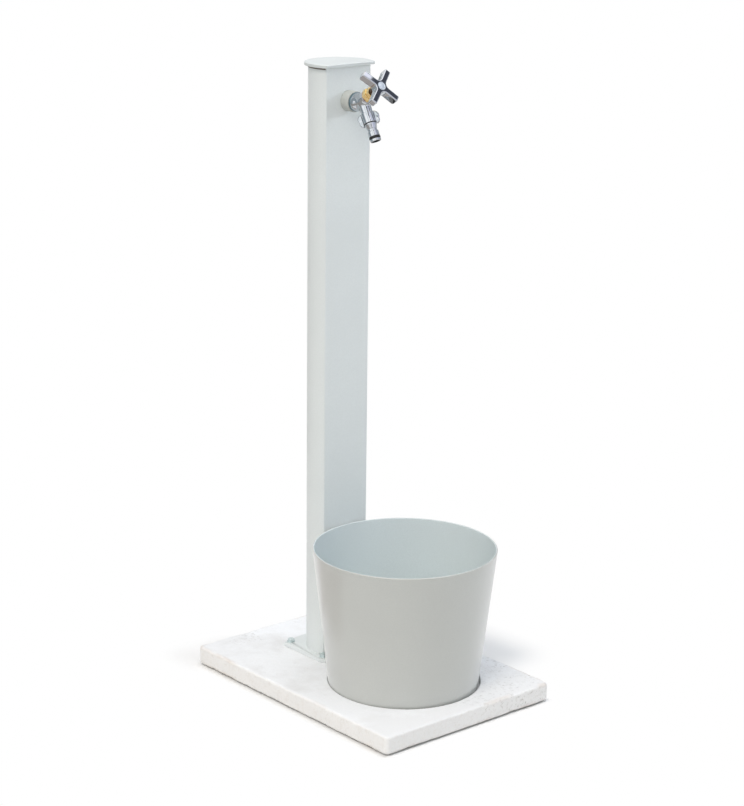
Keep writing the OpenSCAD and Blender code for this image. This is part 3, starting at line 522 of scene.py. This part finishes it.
def makePot():
    lean = (pot["top"] - pot["bottom"])/pot["h"]
    wall = pot["wall"]*math.sqrt(1 + lean*lean)
    low, high = pot["z"], pot["z"] + pot["h"]
    floor = low + pot["wall"]
    corners = [(pot["drain"], low, pot["drainEdge"]), (pot["bottom"], low, pot["foot"]), (pot["top"], high, pot["rim"]),
               (pot["top"] - wall, high, pot["rim"]), (pot["bottom"] - wall + lean*pot["wall"], floor, pot["floorEdge"]),
               (pot["drain"], floor, pot["drainEdge"])]
    piece = turnPiece("potBucket", corners, Matrix.Translation((0, pot["y"], 0)), around=pot["around"])
    dress(piece, "basin", "pot", "pot")

    def inside(c):
        middle = pot["bottom"] + lean*(c[:, 2] - low) - wall/2
        return (np.hypot(c[:, 0], c[:, 1] - pot["y"]) < middle) & (c[:, 2] > low + wall/2)

    # the inside faces take the lighter, cooler coat as painted light
    lineFaces(piece, potInsideLitCoat, inside)


makePot()
print("pot spun")


# the tap's body: bulb, valve socket and spout run into each other as in a casting
tap = {"bulbR": 14.3, "bulbSet": 2.6, "lipR": 14.9, "lipW": 4.0, "lipBore": 12, "lipGap": 0.05, "shankR": 10.2, "shankL": 13,
       "shankEdge": 0.6, "socketR": 10.8, "socketV": 21.5, "socketLow": -6, "socketEdge": 0.9, "spoutR": 9, "flare": 0.8,
       "flareL": 16, "spoutL": 25, "blend": 4, "chamberR": 8, "sleeveR": 9, "sleeveV": 14.5, "seatV": -4, "seatR": 4.2,
       "wellV": -13, "inletR": 6, "inletWall": 3, "ductR": 4.5, "ductL": 14, "spoutBore": 6, "overlap": 1,
       "cell": 0.6, "room": 2}


def tapField(p):
    s = tapAt["front"] - p[:, 1]
    rad = np.hypot(p[:, 0], p[:, 2] - tapAt["height"])
    bulb = np.maximum(np.hypot(rad, s - tap["bulbSet"]) - tap["bulbR"], -s)
    v = local(p, onValve)
    rhoV = np.hypot(v[:, 0], v[:, 1])
    socket = turnedBar(rhoV, v[:, 2], tap["socketR"], tap["socketLow"], tap["socketV"], tap["socketEdge"])
    u = local(p, onSpout)
    rhoU = np.hypot(u[:, 0], u[:, 1])
    girth = tap["spoutR"] + tap["flare"]*np.clip(1 - u[:, 2]/tap["flareL"], 0, 1)
    tube = np.maximum(rhoU - girth, np.maximum(-u[:, 2], u[:, 2] - tap["spoutL"]))
    spout = np.minimum(tube, np.hypot(rhoU, u[:, 2]) - tap["spoutR"] - tap["flare"])
    d = softJoin(softJoin(bulb, socket, tap["blend"]), spout, tap["blend"])
    d = np.maximum(d, v[:, 2] - tap["socketV"])
    d = np.minimum(d, turnedBar(rad, s, tap["shankR"], -tap["shankL"], tap["overlap"], tap["shankEdge"]))
    for hollow in (np.maximum(rhoV - tap["chamberR"], tap["seatV"] - tap["overlap"] - v[:, 2]),
                   np.maximum(rhoV - tap["sleeveR"], tap["sleeveV"] - v[:, 2]),
                   np.maximum(rhoV - tap["seatR"], np.maximum(v[:, 2], tap["wellV"] - v[:, 2])),
                   np.maximum(rad - tap["inletR"], s + tap["inletWall"]),
                   np.maximum(rhoU - tap["ductR"], np.maximum(-u[:, 2], u[:, 2] - tap["ductL"] - tap["overlap"])),
                   np.maximum(rhoU - tap["spoutBore"], tap["ductL"] - u[:, 2])):
        d = np.maximum(d, -hollow)
    return d


piece, points = castSkin("tapCasting", tapField, spanOf("tap_body", tap["room"]), tap["cell"])
dress(piece, "stand", "chrome", "tap_body")
corners = [(tap["lipBore"], tap["lipGap"], 0.1), (tap["lipR"], tap["lipGap"], 0.5), (tap["lipR"], tap["lipW"], 0.9),
           (tap["lipBore"], tap["lipW"], 0.1)]
piece = turnPiece("tapLip", corners, along(90, tapAt["front"], tapAt["height"]))
# the lip's dark teal tone is a painted reflection
dress(piece, "stand", "chrome", finish=lipDarkReflection)
print("tap cast")


# hexagonal brass: flats with soft edges, corners turned off
brass = {"af": 19.6, "hexV": 22.3, "hexT": 8, "sleeveR": 8.9, "sleeveV": 14.5, "neckR": 7.5, "neckTop": 35.7, "bore": 6.05,
         "boreTop": 25, "stem": 4.05, "glandAf": 17.4, "glandV": 30.4, "glandTop": 37.6, "glandBore": 7.6, "glandGap": 0.3,
         "chamfer": 0.4, "edge": 0.35, "turnedEdge": 0.3, "overlap": 1, "cell": 0.4, "room": 2}


def hexField(v, af, low, high):
    x, y, z = np.abs(v[:, 0]), np.abs(v[:, 1]), v[:, 2]
    six = np.maximum(y, 0.5*y + math.sqrt(0.75)*x) - af/2
    d = blunt(six, between(z, low, high), brass["edge"])
    cone = (np.hypot(x, y) - af/2/math.cos(math.pi/6) + brass["chamfer"] + (z - high))*math.sqrt(0.5)
    return np.maximum(d, cone)


def bonnetField(p):
    v = local(p, onValve)
    rho, z = np.hypot(v[:, 0], v[:, 1]), v[:, 2]
    top = brass["hexV"] + brass["hexT"]
    d = hexField(v, brass["af"], brass["hexV"], top)
    sleeveTop = brass["hexV"] + brass["overlap"]
    d = np.minimum(d, turnedBar(rho, z, brass["sleeveR"], brass["sleeveV"], sleeveTop, brass["turnedEdge"]))
    d = np.minimum(d, turnedBar(rho, z, brass["neckR"], top - brass["overlap"], brass["neckTop"], brass["turnedEdge"]))
    d = np.maximum(d, brass["stem"] - rho)
    return np.maximum(d, -np.maximum(rho - brass["bore"], z - brass["boreTop"]))


def glandField(p):
    v = local(p, onValve)
    rho, z = np.hypot(v[:, 0], v[:, 1]), v[:, 2]
    d = hexField(v, brass["glandAf"], brass["glandV"], brass["glandTop"])
    d = np.maximum(d, brass["stem"] - rho)
    return np.maximum(d, -np.maximum(rho - brass["glandBore"], z - brass["neckTop"] - brass["glandGap"]))


for name, field, node in (("bonnetHexagon", bonnetField, "bonnet"), ("glandHexagon", glandField, "gland_nut")):
    piece, points = castSkin(name, field, spanOf(node, brass["room"]), brass["cell"])
    dress(piece, "stand", "brass", node)
print("bonnet and gland nut cut")


# the cross handle: four flat arms with polished bevels, filleted into each other, on a round hub
handle = {"reach": 33.6, "w": 9.6, "top": 61, "d": 14, "fillet": 8, "bevel": 1.7, "endTop": 1.8, "endLow": 4.5,
          "endEdge": 0.6, "crown": 0.9, "hubR": 8.9, "hubLow": 7.9, "hubV": 38.6, "hubTaper": 12, "hubEdge": 0.6,
          "hubFillet": 1.2, "screwR": 2, "recessR": 6.6, "recessD": 1.6, "recessEdge": 0.3, "boreR": 4.3, "boreTop": 55.2,
          "pocketV": 57.2, "pocketR": 3.8, "hubShadeGap": 0.3, "cell": 0.42, "room": 2}


def handleField(p):
    v = local(p, onValve)
    x, y = v[:, 0], v[:, 1]
    rho = np.hypot(x, y)
    z = v[:, 2] + handle["crown"]*(rho/handle["reach"])**2  # the arms fall a little towards their ends
    a, b = np.abs(x + y)*math.sqrt(0.5), np.abs(y - x)*math.sqrt(0.5)
    half = handle["w"]/2
    flat = filletJoin(a - half, b - half, handle["fillet"])
    mid = handle["top"] - handle["d"]/2
    thick = np.abs(z - mid) - handle["d"]/2
    d = blunt(flat, thick, handle["bevel"])
    low, high = mid - handle["d"]/2, mid + handle["d"]/2
    ends = np.where(z > mid, turnedBar(rho, z, handle["reach"], low, high, handle["endTop"]),
                    turnedBar(rho, z, handle["reach"], low, high, handle["endLow"]))
    d = -filletJoin(-d, -ends, handle["endEdge"])
    wider = (handle["hubR"] - handle["hubLow"])*np.clip((z - handle["hubV"])/handle["hubTaper"], 0, 1)
    hub = turnedBar(rho - wider, z, handle["hubLow"], handle["hubV"], mid, handle["hubEdge"])
    d = filletJoin(d, hub, handle["hubFillet"])
    d = filletCut(d, np.maximum(rho - handle["recessR"], handle["top"] - handle["recessD"] - z), handle["recessEdge"])
    d = np.maximum(d, -np.maximum(rho - handle["boreR"], z - handle["boreTop"]))
    d = np.maximum(d, handle["screwR"] - rho)
    return np.maximum(d, -np.maximum(rho - handle["pocketR"], handle["pocketV"] - z))


def onHub(c):
    x, y, z = local(c, onValve).T
    return (np.hypot(x, y) < handle["hubR"] + handle["hubShadeGap"]) & (z < handle["top"] - handle["d"] - handle["hubShadeGap"])


piece, points = castSkin("handleCross", handleField, spanOf("cross_handle", handle["room"]), handle["cell"])
dress(piece, "handle", "chrome", "cross_handle")
# the hub's lower faces take the painted shade and brown painted reflection
lineFaces(piece, shadedHubFinish, onHub)

# the button is left bare: a shallow dome inside a fine rim
button = {"r": 6.5, "low": 59.4, "rim": 61.25, "rimR": 5.6, "groove": 60.95, "grooveOut": 5.3, "grooveIn": 4.9, "skirtR": 4.4,
          "skirt": 61.35, "crownR": 2.4, "crown": 61.62, "dome": 61.7}
b = button
corners = [(0, b["low"], 0), (b["r"], b["low"], 0.2), (b["r"], b["rim"], 0.3), (b["rimR"], b["rim"], 0.25),
           (b["grooveOut"], b["groove"], 0.2), (b["grooveIn"], b["groove"], 0.25), (b["skirtR"], b["skirt"], 0.6),
           (b["crownR"], b["crown"], 2), (0, b["dome"], 0)]
dress(turnPiece("handleButton", corners, onValve, closed=False), "handle", "button", "handle_button")
print("handle made")


# the coupling nut with its two ears, and the hose nipple below it
nut = {"r": 10.4, "low": 16, "high": 32.5, "edge": 0.8, "earAt": 9, "earR": 8, "earT": 5.5, "earS": 24, "earEdge": 1.8,
       "earFillet": 1.2, "clawAt": 9.5, "clawR": 6.5, "clawS": 30.5, "clawJoin": 1.0, "earTurn": 47, "bore": 9.1, "lip": 27.5,
       "hole": 8.3, "cell": 0.5, "room": 6}


def nutField(p):
    u = local(p, onSpout)
    rho, z = np.hypot(u[:, 0], u[:, 1]), u[:, 2]
    d = turnedBar(rho, z, nut["r"], nut["low"], nut["high"], nut["edge"])
    turn = math.radians(nut["earTurn"])
    out = np.abs(u[:, 0]*math.cos(turn) + u[:, 1]*math.sin(turn))
    across = -u[:, 0]*math.sin(turn) + u[:, 1]*math.cos(turn)
    half = nut["earT"]/2
    ear = turnedBar(np.hypot(out - nut["earAt"], z - nut["earS"]), across, nut["earR"], -half, half, nut["earEdge"])
    claw = turnedBar(np.hypot(out - nut["clawAt"], z - nut["clawS"]), across, nut["clawR"], -half, half, nut["earEdge"])
    d = filletJoin(d, softJoin(ear, claw, nut["clawJoin"]), nut["earFillet"])
    d = np.maximum(d, nut["low"] - z)
    d = np.maximum(d, -np.maximum(rho - nut["r"], nut["high"] - z))
    d = np.maximum(d, -np.maximum(rho - nut["bore"], z - nut["lip"]))
    return np.maximum(d, nut["hole"] - rho)


piece, points = castSkin("couplingNut", nutField, spanOf("coupling_nut", nut["room"]), nut["cell"])
dress(piece, "stand", "chrome", "coupling_nut")

nipple = {"bore": 4, "mouth": 6.6, "mouthL": 3.2, "shank": 8.2, "start": 26.5, "taperR": 9.7, "taper": 33.7, "rim": 1.5,
          "lockR": 7.2, "lockOutR": 7.6, "lockLow": 42.1, "lock": 42.4, "lockHigh": 46.0, "barrelR": 8.5, "barrel": 46.4,
          "sealLow": 54.3, "sealHigh": 58.6, "sealR": 8.8, "sealGap": 0.05, "floorR": 5.65, "ringFloor": 5.75, "end": 62.4,
          "shadowRingR": 9.8, "shadowRingLow": 32.5, "darkGap": 0.05, "darkFrom": 1}
n = nipple
mouthLow = n["end"] - n["mouthL"]
corners = [(n["bore"], n["start"], 0.3), (n["shank"], n["start"], 0.4), (n["shank"], n["taper"], 0.2),
           (n["taperR"], n["taper"], 0.4), (n["taperR"], n["taper"] + n["rim"], 0.5), (n["lockOutR"], n["lockLow"], 0.3),
           (n["lockR"], n["lock"], 0.6), (n["lockR"], n["lockHigh"], 0.5), (n["barrelR"], n["barrel"], 0.6),
           (n["barrelR"], n["sealLow"], 0.35), (n["floorR"], n["sealLow"], 0.3), (n["floorR"], n["sealHigh"], 0.3),
           (n["barrelR"], n["sealHigh"], 0.35), (n["barrelR"], n["end"], 0.9), (n["mouth"], n["end"], 0.5),
           (n["mouth"], mouthLow, 0.5), (n["bore"], mouthLow, 0.3)]
piece = turnPiece("hoseNipple", corners, onSpout)
dress(piece, "stand", "chrome", "hose_nipple")


def inBore(c):
    x, y, z = local(c, onSpout).T
    return (np.hypot(x, y) < n["mouth"] + n["darkGap"]) & (z > n["start"] + n["darkFrom"])


# the bore's faces take the black rubber finish as painted shade inside the hole
lineFaces(piece, finishes["rubber"], inBore)  # the bore shows dark
sealLow, sealHigh = n["sealLow"] + n["sealGap"], n["sealHigh"] - n["sealGap"]
corners = [(n["ringFloor"], sealLow, 0.4), (n["sealR"], sealLow, 1.1), (n["sealR"], sealHigh, 1.1),
           (n["ringFloor"], sealHigh, 0.4)]
dress(turnPiece("sealRing", corners, onSpout), "stand", "rubber", "nipple_seal")
# a thin black ring under the nut: painted shadow in the gap there
corners = [(n["shank"], n["shadowRingLow"], 0.1), (n["shadowRingR"], n["shadowRingLow"], 0.3), (n["shadowRingR"], n["taper"], 0.3),
           (n["shank"], n["taper"], 0.1)]
dress(turnPiece("nutShadowRing", corners, onSpout), "stand", "rubber")
print("nut and nipple made")


# the shade under the cap's lip drawn as a painted shadow: a thin dark brown band along the bowed side, and a lighter
# grey one along the front
strip = {"y": 88.5, "r": 49.15, "deep": 0.8, "flat": 20.2, "top": 994.98, "low": 991.8, "steps": 96,
         "front": 68.35, "half": 43.5, "line": 993.6}
boxFaces = ((0, 1, 3, 2), (4, 6, 7, 5), (0, 4, 5, 1), (2, 3, 7, 6), (0, 2, 6, 4), (1, 5, 7, 3))


def makeStrip():
    start = -math.asin(strip["flat"]/strip["r"])
    points, faces = [], []
    for i in range(strip["steps"] + 1):
        a = start + (math.pi - 2*start)*i/strip["steps"]
        for r, z in ((0, "low"), (0, "top"), (strip["deep"], "top"), (strip["deep"], "low")):
            reach = strip["r"] - r
            points.append((reach*math.cos(a), strip["y"] + reach*math.sin(a), strip[z]))
    for i in range(strip["steps"]):
        for k in range(4):
            m = (k + 1) % 4
            faces.append((4*i + k, 4*i + 4 + k, 4*i + 4 + m, 4*i + m))
    last = 4*strip["steps"]
    faces += [(0, 1, 2, 3), (last + 3, last + 2, last + 1, last)]
    bowed, first = len(faces), len(points)
    points += [(x, y, z) for x in (-strip["half"], strip["half"]) for y in (strip["front"], strip["front"] + strip["deep"])
               for z in (strip["line"], strip["top"])]
    faces += [[first + k for k in loop] for loop in boxFaces]
    piece = link("capStrip", np.array(points), faces)
    piece.data.polygons.foreach_set("use_smooth", [False]*len(faces))
    # dark brown on the bowed side and grey along the front: painted shadow under the cap's lip
    dress(piece, "stand", "rubber", finish=moulded("capBowedShadow", "6b625a", "7a726a", grain=0.8, gloss=0.6))
    painted = moulded("capFrontShadow", "a3a9a8", "b1b7b6", grain=0.8, gloss=0.6)
    lineFaces(piece, painted, lambda c: np.arange(len(c)) >= bowed)


makeStrip()
print("cap shadowed")


# carried-over nodes get soft edges, each of its own width
softEdges = {"column_cap": 0.35, "base_flange": 0.7, "flange_bolts": 0.35, "flange_washers": 0.25, "tap_collar": 0.4,
             "drain_outlet": 0.4, "drain_nut": 0.4}
easing = {"weld": 0.002, "steps": 3, "angle": 40}


def easeEdges(name, width):
    node = nodes[name]
    weld = node.modifiers.new("weld", "WELD")
    weld.merge_threshold = easing["weld"]*mm
    ease = node.modifiers.new("ease", "BEVEL")
    ease.width = width*mm
    ease.segments = easing["steps"]
    ease.limit_method = "ANGLE"
    ease.angle_limit = math.radians(easing["angle"])
    ease.harden_normals = True


for name, width in softEdges.items():
    easeEdges(name, width)
print("edges eased")


# the stage: a pale floor that fades to white, soft lamps, and cards that only metal sees
stage = {"floor": 40, "drop": 0.3, "tone": "d6d5d1", "seenTone": "f8f7f5", "ambient": 0.5, "sky": "f1f6ff"}
# where the floor shows its shadow: close to the slab, and farther on the right
zones = ({"middle": (0, 0, 0), "half": (0.1715, 0.239, 0), "from": 0.0, "to": 0.012},
         {"middle": (0.12, 0.05, 0), "half": (0.13, 0.09, 0), "from": 0.0, "to": 0.1},
         {"middle": (-0.12, 0.26, 0), "half": (0.03, 0.02, 0), "from": 0.0, "to": 0.06})


def bareTree(owner):
    owner.use_nodes = True
    owner.node_tree.nodes.clear()
    return owner.node_tree


# 1 for rays from the camera, a mirror or glass
def seenRay(tree):
    ray = put(tree, "LightPath", {}).outputs
    seen = put(tree, "Math", {0: ray["Is Camera Ray"], 1: ray["Is Glossy Ray"]}, operation="MAXIMUM")
    return put(tree, "Math", {0: seen.outputs[0], 1: ray["Is Transmission Ray"]}, operation="MAXIMUM").outputs[0]


def makeFloor():
    s = stage["floor"]
    mesh = bpy.data.meshes.new("floor")
    mesh.from_pydata([(-s, -s, 0), (s, -s, 0), (s, s, 0), (-s, s, 0)], [], [(0, 1, 2, 3)])
    floor = bpy.data.objects.new("floor", mesh)
    floor.location.z = -stage["drop"]*mm
    scene.collection.objects.link(floor)
    finish = bpy.data.materials.new("paleFloor")
    tree = bareTree(finish)
    place = put(tree, "TexCoord", {})
    white = 1.0
    for zone in zones:
        off = put(tree, "VectorMath", {0: place.outputs["Object"], 1: zone["middle"]}, operation="SUBTRACT")
        off = put(tree, "VectorMath", {0: off.outputs[0]}, operation="ABSOLUTE")
        off = put(tree, "VectorMath", {0: off.outputs[0], 1: zone["half"]}, operation="SUBTRACT")
        off = put(tree, "VectorMath", {0: off.outputs[0], 1: (0, 0, 0)}, operation="MAXIMUM")
        far = put(tree, "VectorMath", {0: off.outputs[0]}, operation="LENGTH")
        fade = put(tree, "MapRange", {"Value": far.outputs["Value"], "From Min": zone["from"], "From Max": zone["to"]},
                   interpolation_type="SMOOTHSTEP")
        white = put(tree, "Math", {0: fade.outputs[0], 1: white}, operation="MULTIPLY").outputs[0]
    seen = seenRay(tree)
    share = put(tree, "Math", {0: seen, 1: white}, operation="MULTIPLY")
    tone = put(tree, "Mix", {0: seen, 6: linear(stage["tone"]), 7: linear(stage["seenTone"])}, data_type="RGBA")
    matte = put(tree, "BsdfDiffuse", {"Color": tone.outputs[2]})
    paper = put(tree, "Emission", {"Strength": 1.0})
    mixed = put(tree, "MixShader", {0: share.outputs[0], 1: matte.outputs[0], 2: paper.outputs[0]})
    put(tree, "OutputMaterial", {"Surface": mixed.outputs[0]})
    mesh.materials.append(finish)


def makeWorld():
    world = bpy.data.worlds.new("paleRoom")
    tree = bareTree(world)
    seen = seenRay(tree)
    level = put(tree, "MapRange", {"Value": seen, "To Min": stage["ambient"], "To Max": 1.0})
    tint = put(tree, "Mix", {0: seen, 6: linear(stage["sky"]), 7: (1, 1, 1, 1)}, data_type="RGBA")
    glow = put(tree, "Background", {"Color": tint.outputs[2], "Strength": level.outputs[0]})
    put(tree, "OutputWorld", {"Surface": glow.outputs[0]})
    scene.world = world


# far lamps, so that the cap and the slab get the same light, and a soft box to the right of the tap
# toward: where the light comes from
lamps = {
    "lampKey": {"toward": (-2.42, -0.88, 3.06), "level": 0.37, "soft": 25, "tint": "fff9f0"},
    "lampLow": {"toward": (-2.65, 1.0, 1.1), "level": 0.04, "soft": 20, "tint": "ffe0bc"},
    "lampFill": {"toward": (-1.7, -2.0, 1.8), "level": 0.07, "soft": 40, "tint": "fafcff"},
    "lampTop": {"toward": (0.1, -0.3, 3.0), "level": 0.19, "soft": 40, "tint": "ffffff"},
}
softBox = {"place": (1.1, -0.8, 1.3), "aim": (0, 0.06, 1.0), "power": 5.6, "size": 0.34, "tint": "ecf4ff"}


def addLamp(name, kind, lamp, energy, place, toward):
    data = bpy.data.lights.new(name, kind)
    data.energy = energy
    data.color = linear(lamp["tint"])[:3]
    obj = bpy.data.objects.new(name, data)
    obj.location = place
    obj.rotation_euler = toward.to_track_quat("Z", "Y").to_euler()
    obj.visible_glossy = False
    scene.collection.objects.link(obj)
    return data


def makeLamps():
    for name, lamp in lamps.items():
        data = addLamp(name, "SUN", lamp, lamp["level"]*math.pi, lamp["toward"], Vector(lamp["toward"]))
        data.angle = math.radians(lamp["soft"])
    toward = Vector(softBox["place"]) - Vector(softBox["aim"])
    data = addLamp("softBox", "AREA", softBox, softBox["power"], softBox["place"], toward)
    data.size = softBox["size"]


# cards and soft boxes that give the chrome its contrast, as in a studio; only reflections show them
# side: degrees from the front to the right, rise: degrees above the level, both seen from the tap
cards = {
    "cardHandle": {"side": (42, 66), "rise": (30.5, 40.2), "tone": "585b66", "glow": 1.0},
    "cardLens": {"side": (-31, -22), "rise": (-12, 50), "tone": "33323e", "glow": 1.0},
    "cardLeft": {"side": (-178, -104), "rise": (-14, 44), "tone": "a9b3b8", "glow": 1.0},
    "cardRight": {"side": (98, 140), "rise": (-14, 45), "tone": "8d949b", "glow": 1.0},
    "cardGround": {"side": (-180, 180), "rise": (-38, -14), "tone": "b2aea8", "glow": 1.0},
    "cardBrown": {"side": (-133, -118), "rise": (-53, -41), "tone": "85561c", "glow": 1.0},
    "cardGreige": {"side": (-165, -106), "rise": (-75, -55), "tone": "c6beb9", "glow": 1.0},
    "boxSide": {"side": (-104, -70), "rise": (2, 48), "tone": "ffffff", "glow": 1.45},
    "boxEar": {"side": (-70, -54), "rise": (2, 48), "tone": "ecf3f4", "glow": 1.3},
    "boxLeft": {"side": (-54, -32), "rise": (2, 48), "tone": "ffffff", "glow": 1.45},
    "boxNear": {"side": (-21, -5), "rise": (2, 48), "tone": "fbfaff", "glow": 1.45},
    "boxSheen": {"side": (-5, 41), "rise": (2, 50), "tone": "dfe1f2", "glow": 1.15},
    "boxUnder": {"side": (42, 66), "rise": (2, 30.4), "tone": "c9cdd8", "glow": 1.0},
    "boxRight": {"side": (66, 98), "rise": (2, 46), "tone": "c3cad2", "glow": 1.0},
    "boxOver": {"side": (41, 66), "rise": (40.4, 50), "tone": "f4f4ff", "glow": 1.5},
    "boxTop": {"side": (-180, 180), "rise": (50, 89), "tone": "ffffff", "glow": 1.5},
}
cardReach = {"far": 3.0, "eye": (0, 0.02, 0.94), "step": 6, "clear": 0.01}


def makeCards():
    for name, card in cards.items():
        (left, right), (low, high) = card["side"], card["rise"]
        across, up = (max(2, round(span/cardReach["step"])) for span in (right - left, high - low))
        points, faces = [], []
        for j in range(up + 1):
            for i in range(across + 1):
                a, e = math.radians(left + (right - left)*i/across), math.radians(low + (high - low)*j/up)
                way = Vector((math.sin(a)*math.cos(e), -math.cos(a)*math.cos(e), math.sin(e)))
                far = cardReach["far"]
                if way.z < 0:  # stays above the floor
                    far = min(far, (cardReach["eye"][2] - cardReach["clear"])/-way.z)
                points.append(Vector(cardReach["eye"]) + way*far)
        for j in range(up):
            for i in range(across):
                k = j*(across + 1) + i
                faces.append((k, k + 1, k + across + 2, k + across + 1))
        mesh = bpy.data.meshes.new(name)
        mesh.from_pydata(points, [], faces)
        obj = bpy.data.objects.new(name, mesh)
        obj.visible_camera = obj.visible_diffuse = obj.visible_shadow = obj.visible_transmission = False
        finish = bpy.data.materials.new(name + "Felt")
        tree = bareTree(finish)
        felt = put(tree, "Emission", {"Color": linear(card["tone"]), "Strength": card["glow"]})
        put(tree, "OutputMaterial", {"Surface": felt.outputs[0]})
        mesh.materials.append(finish)
        scene.collection.objects.link(obj)


makeFloor()
makeWorld()
makeLamps()
makeCards()
print("stage set")
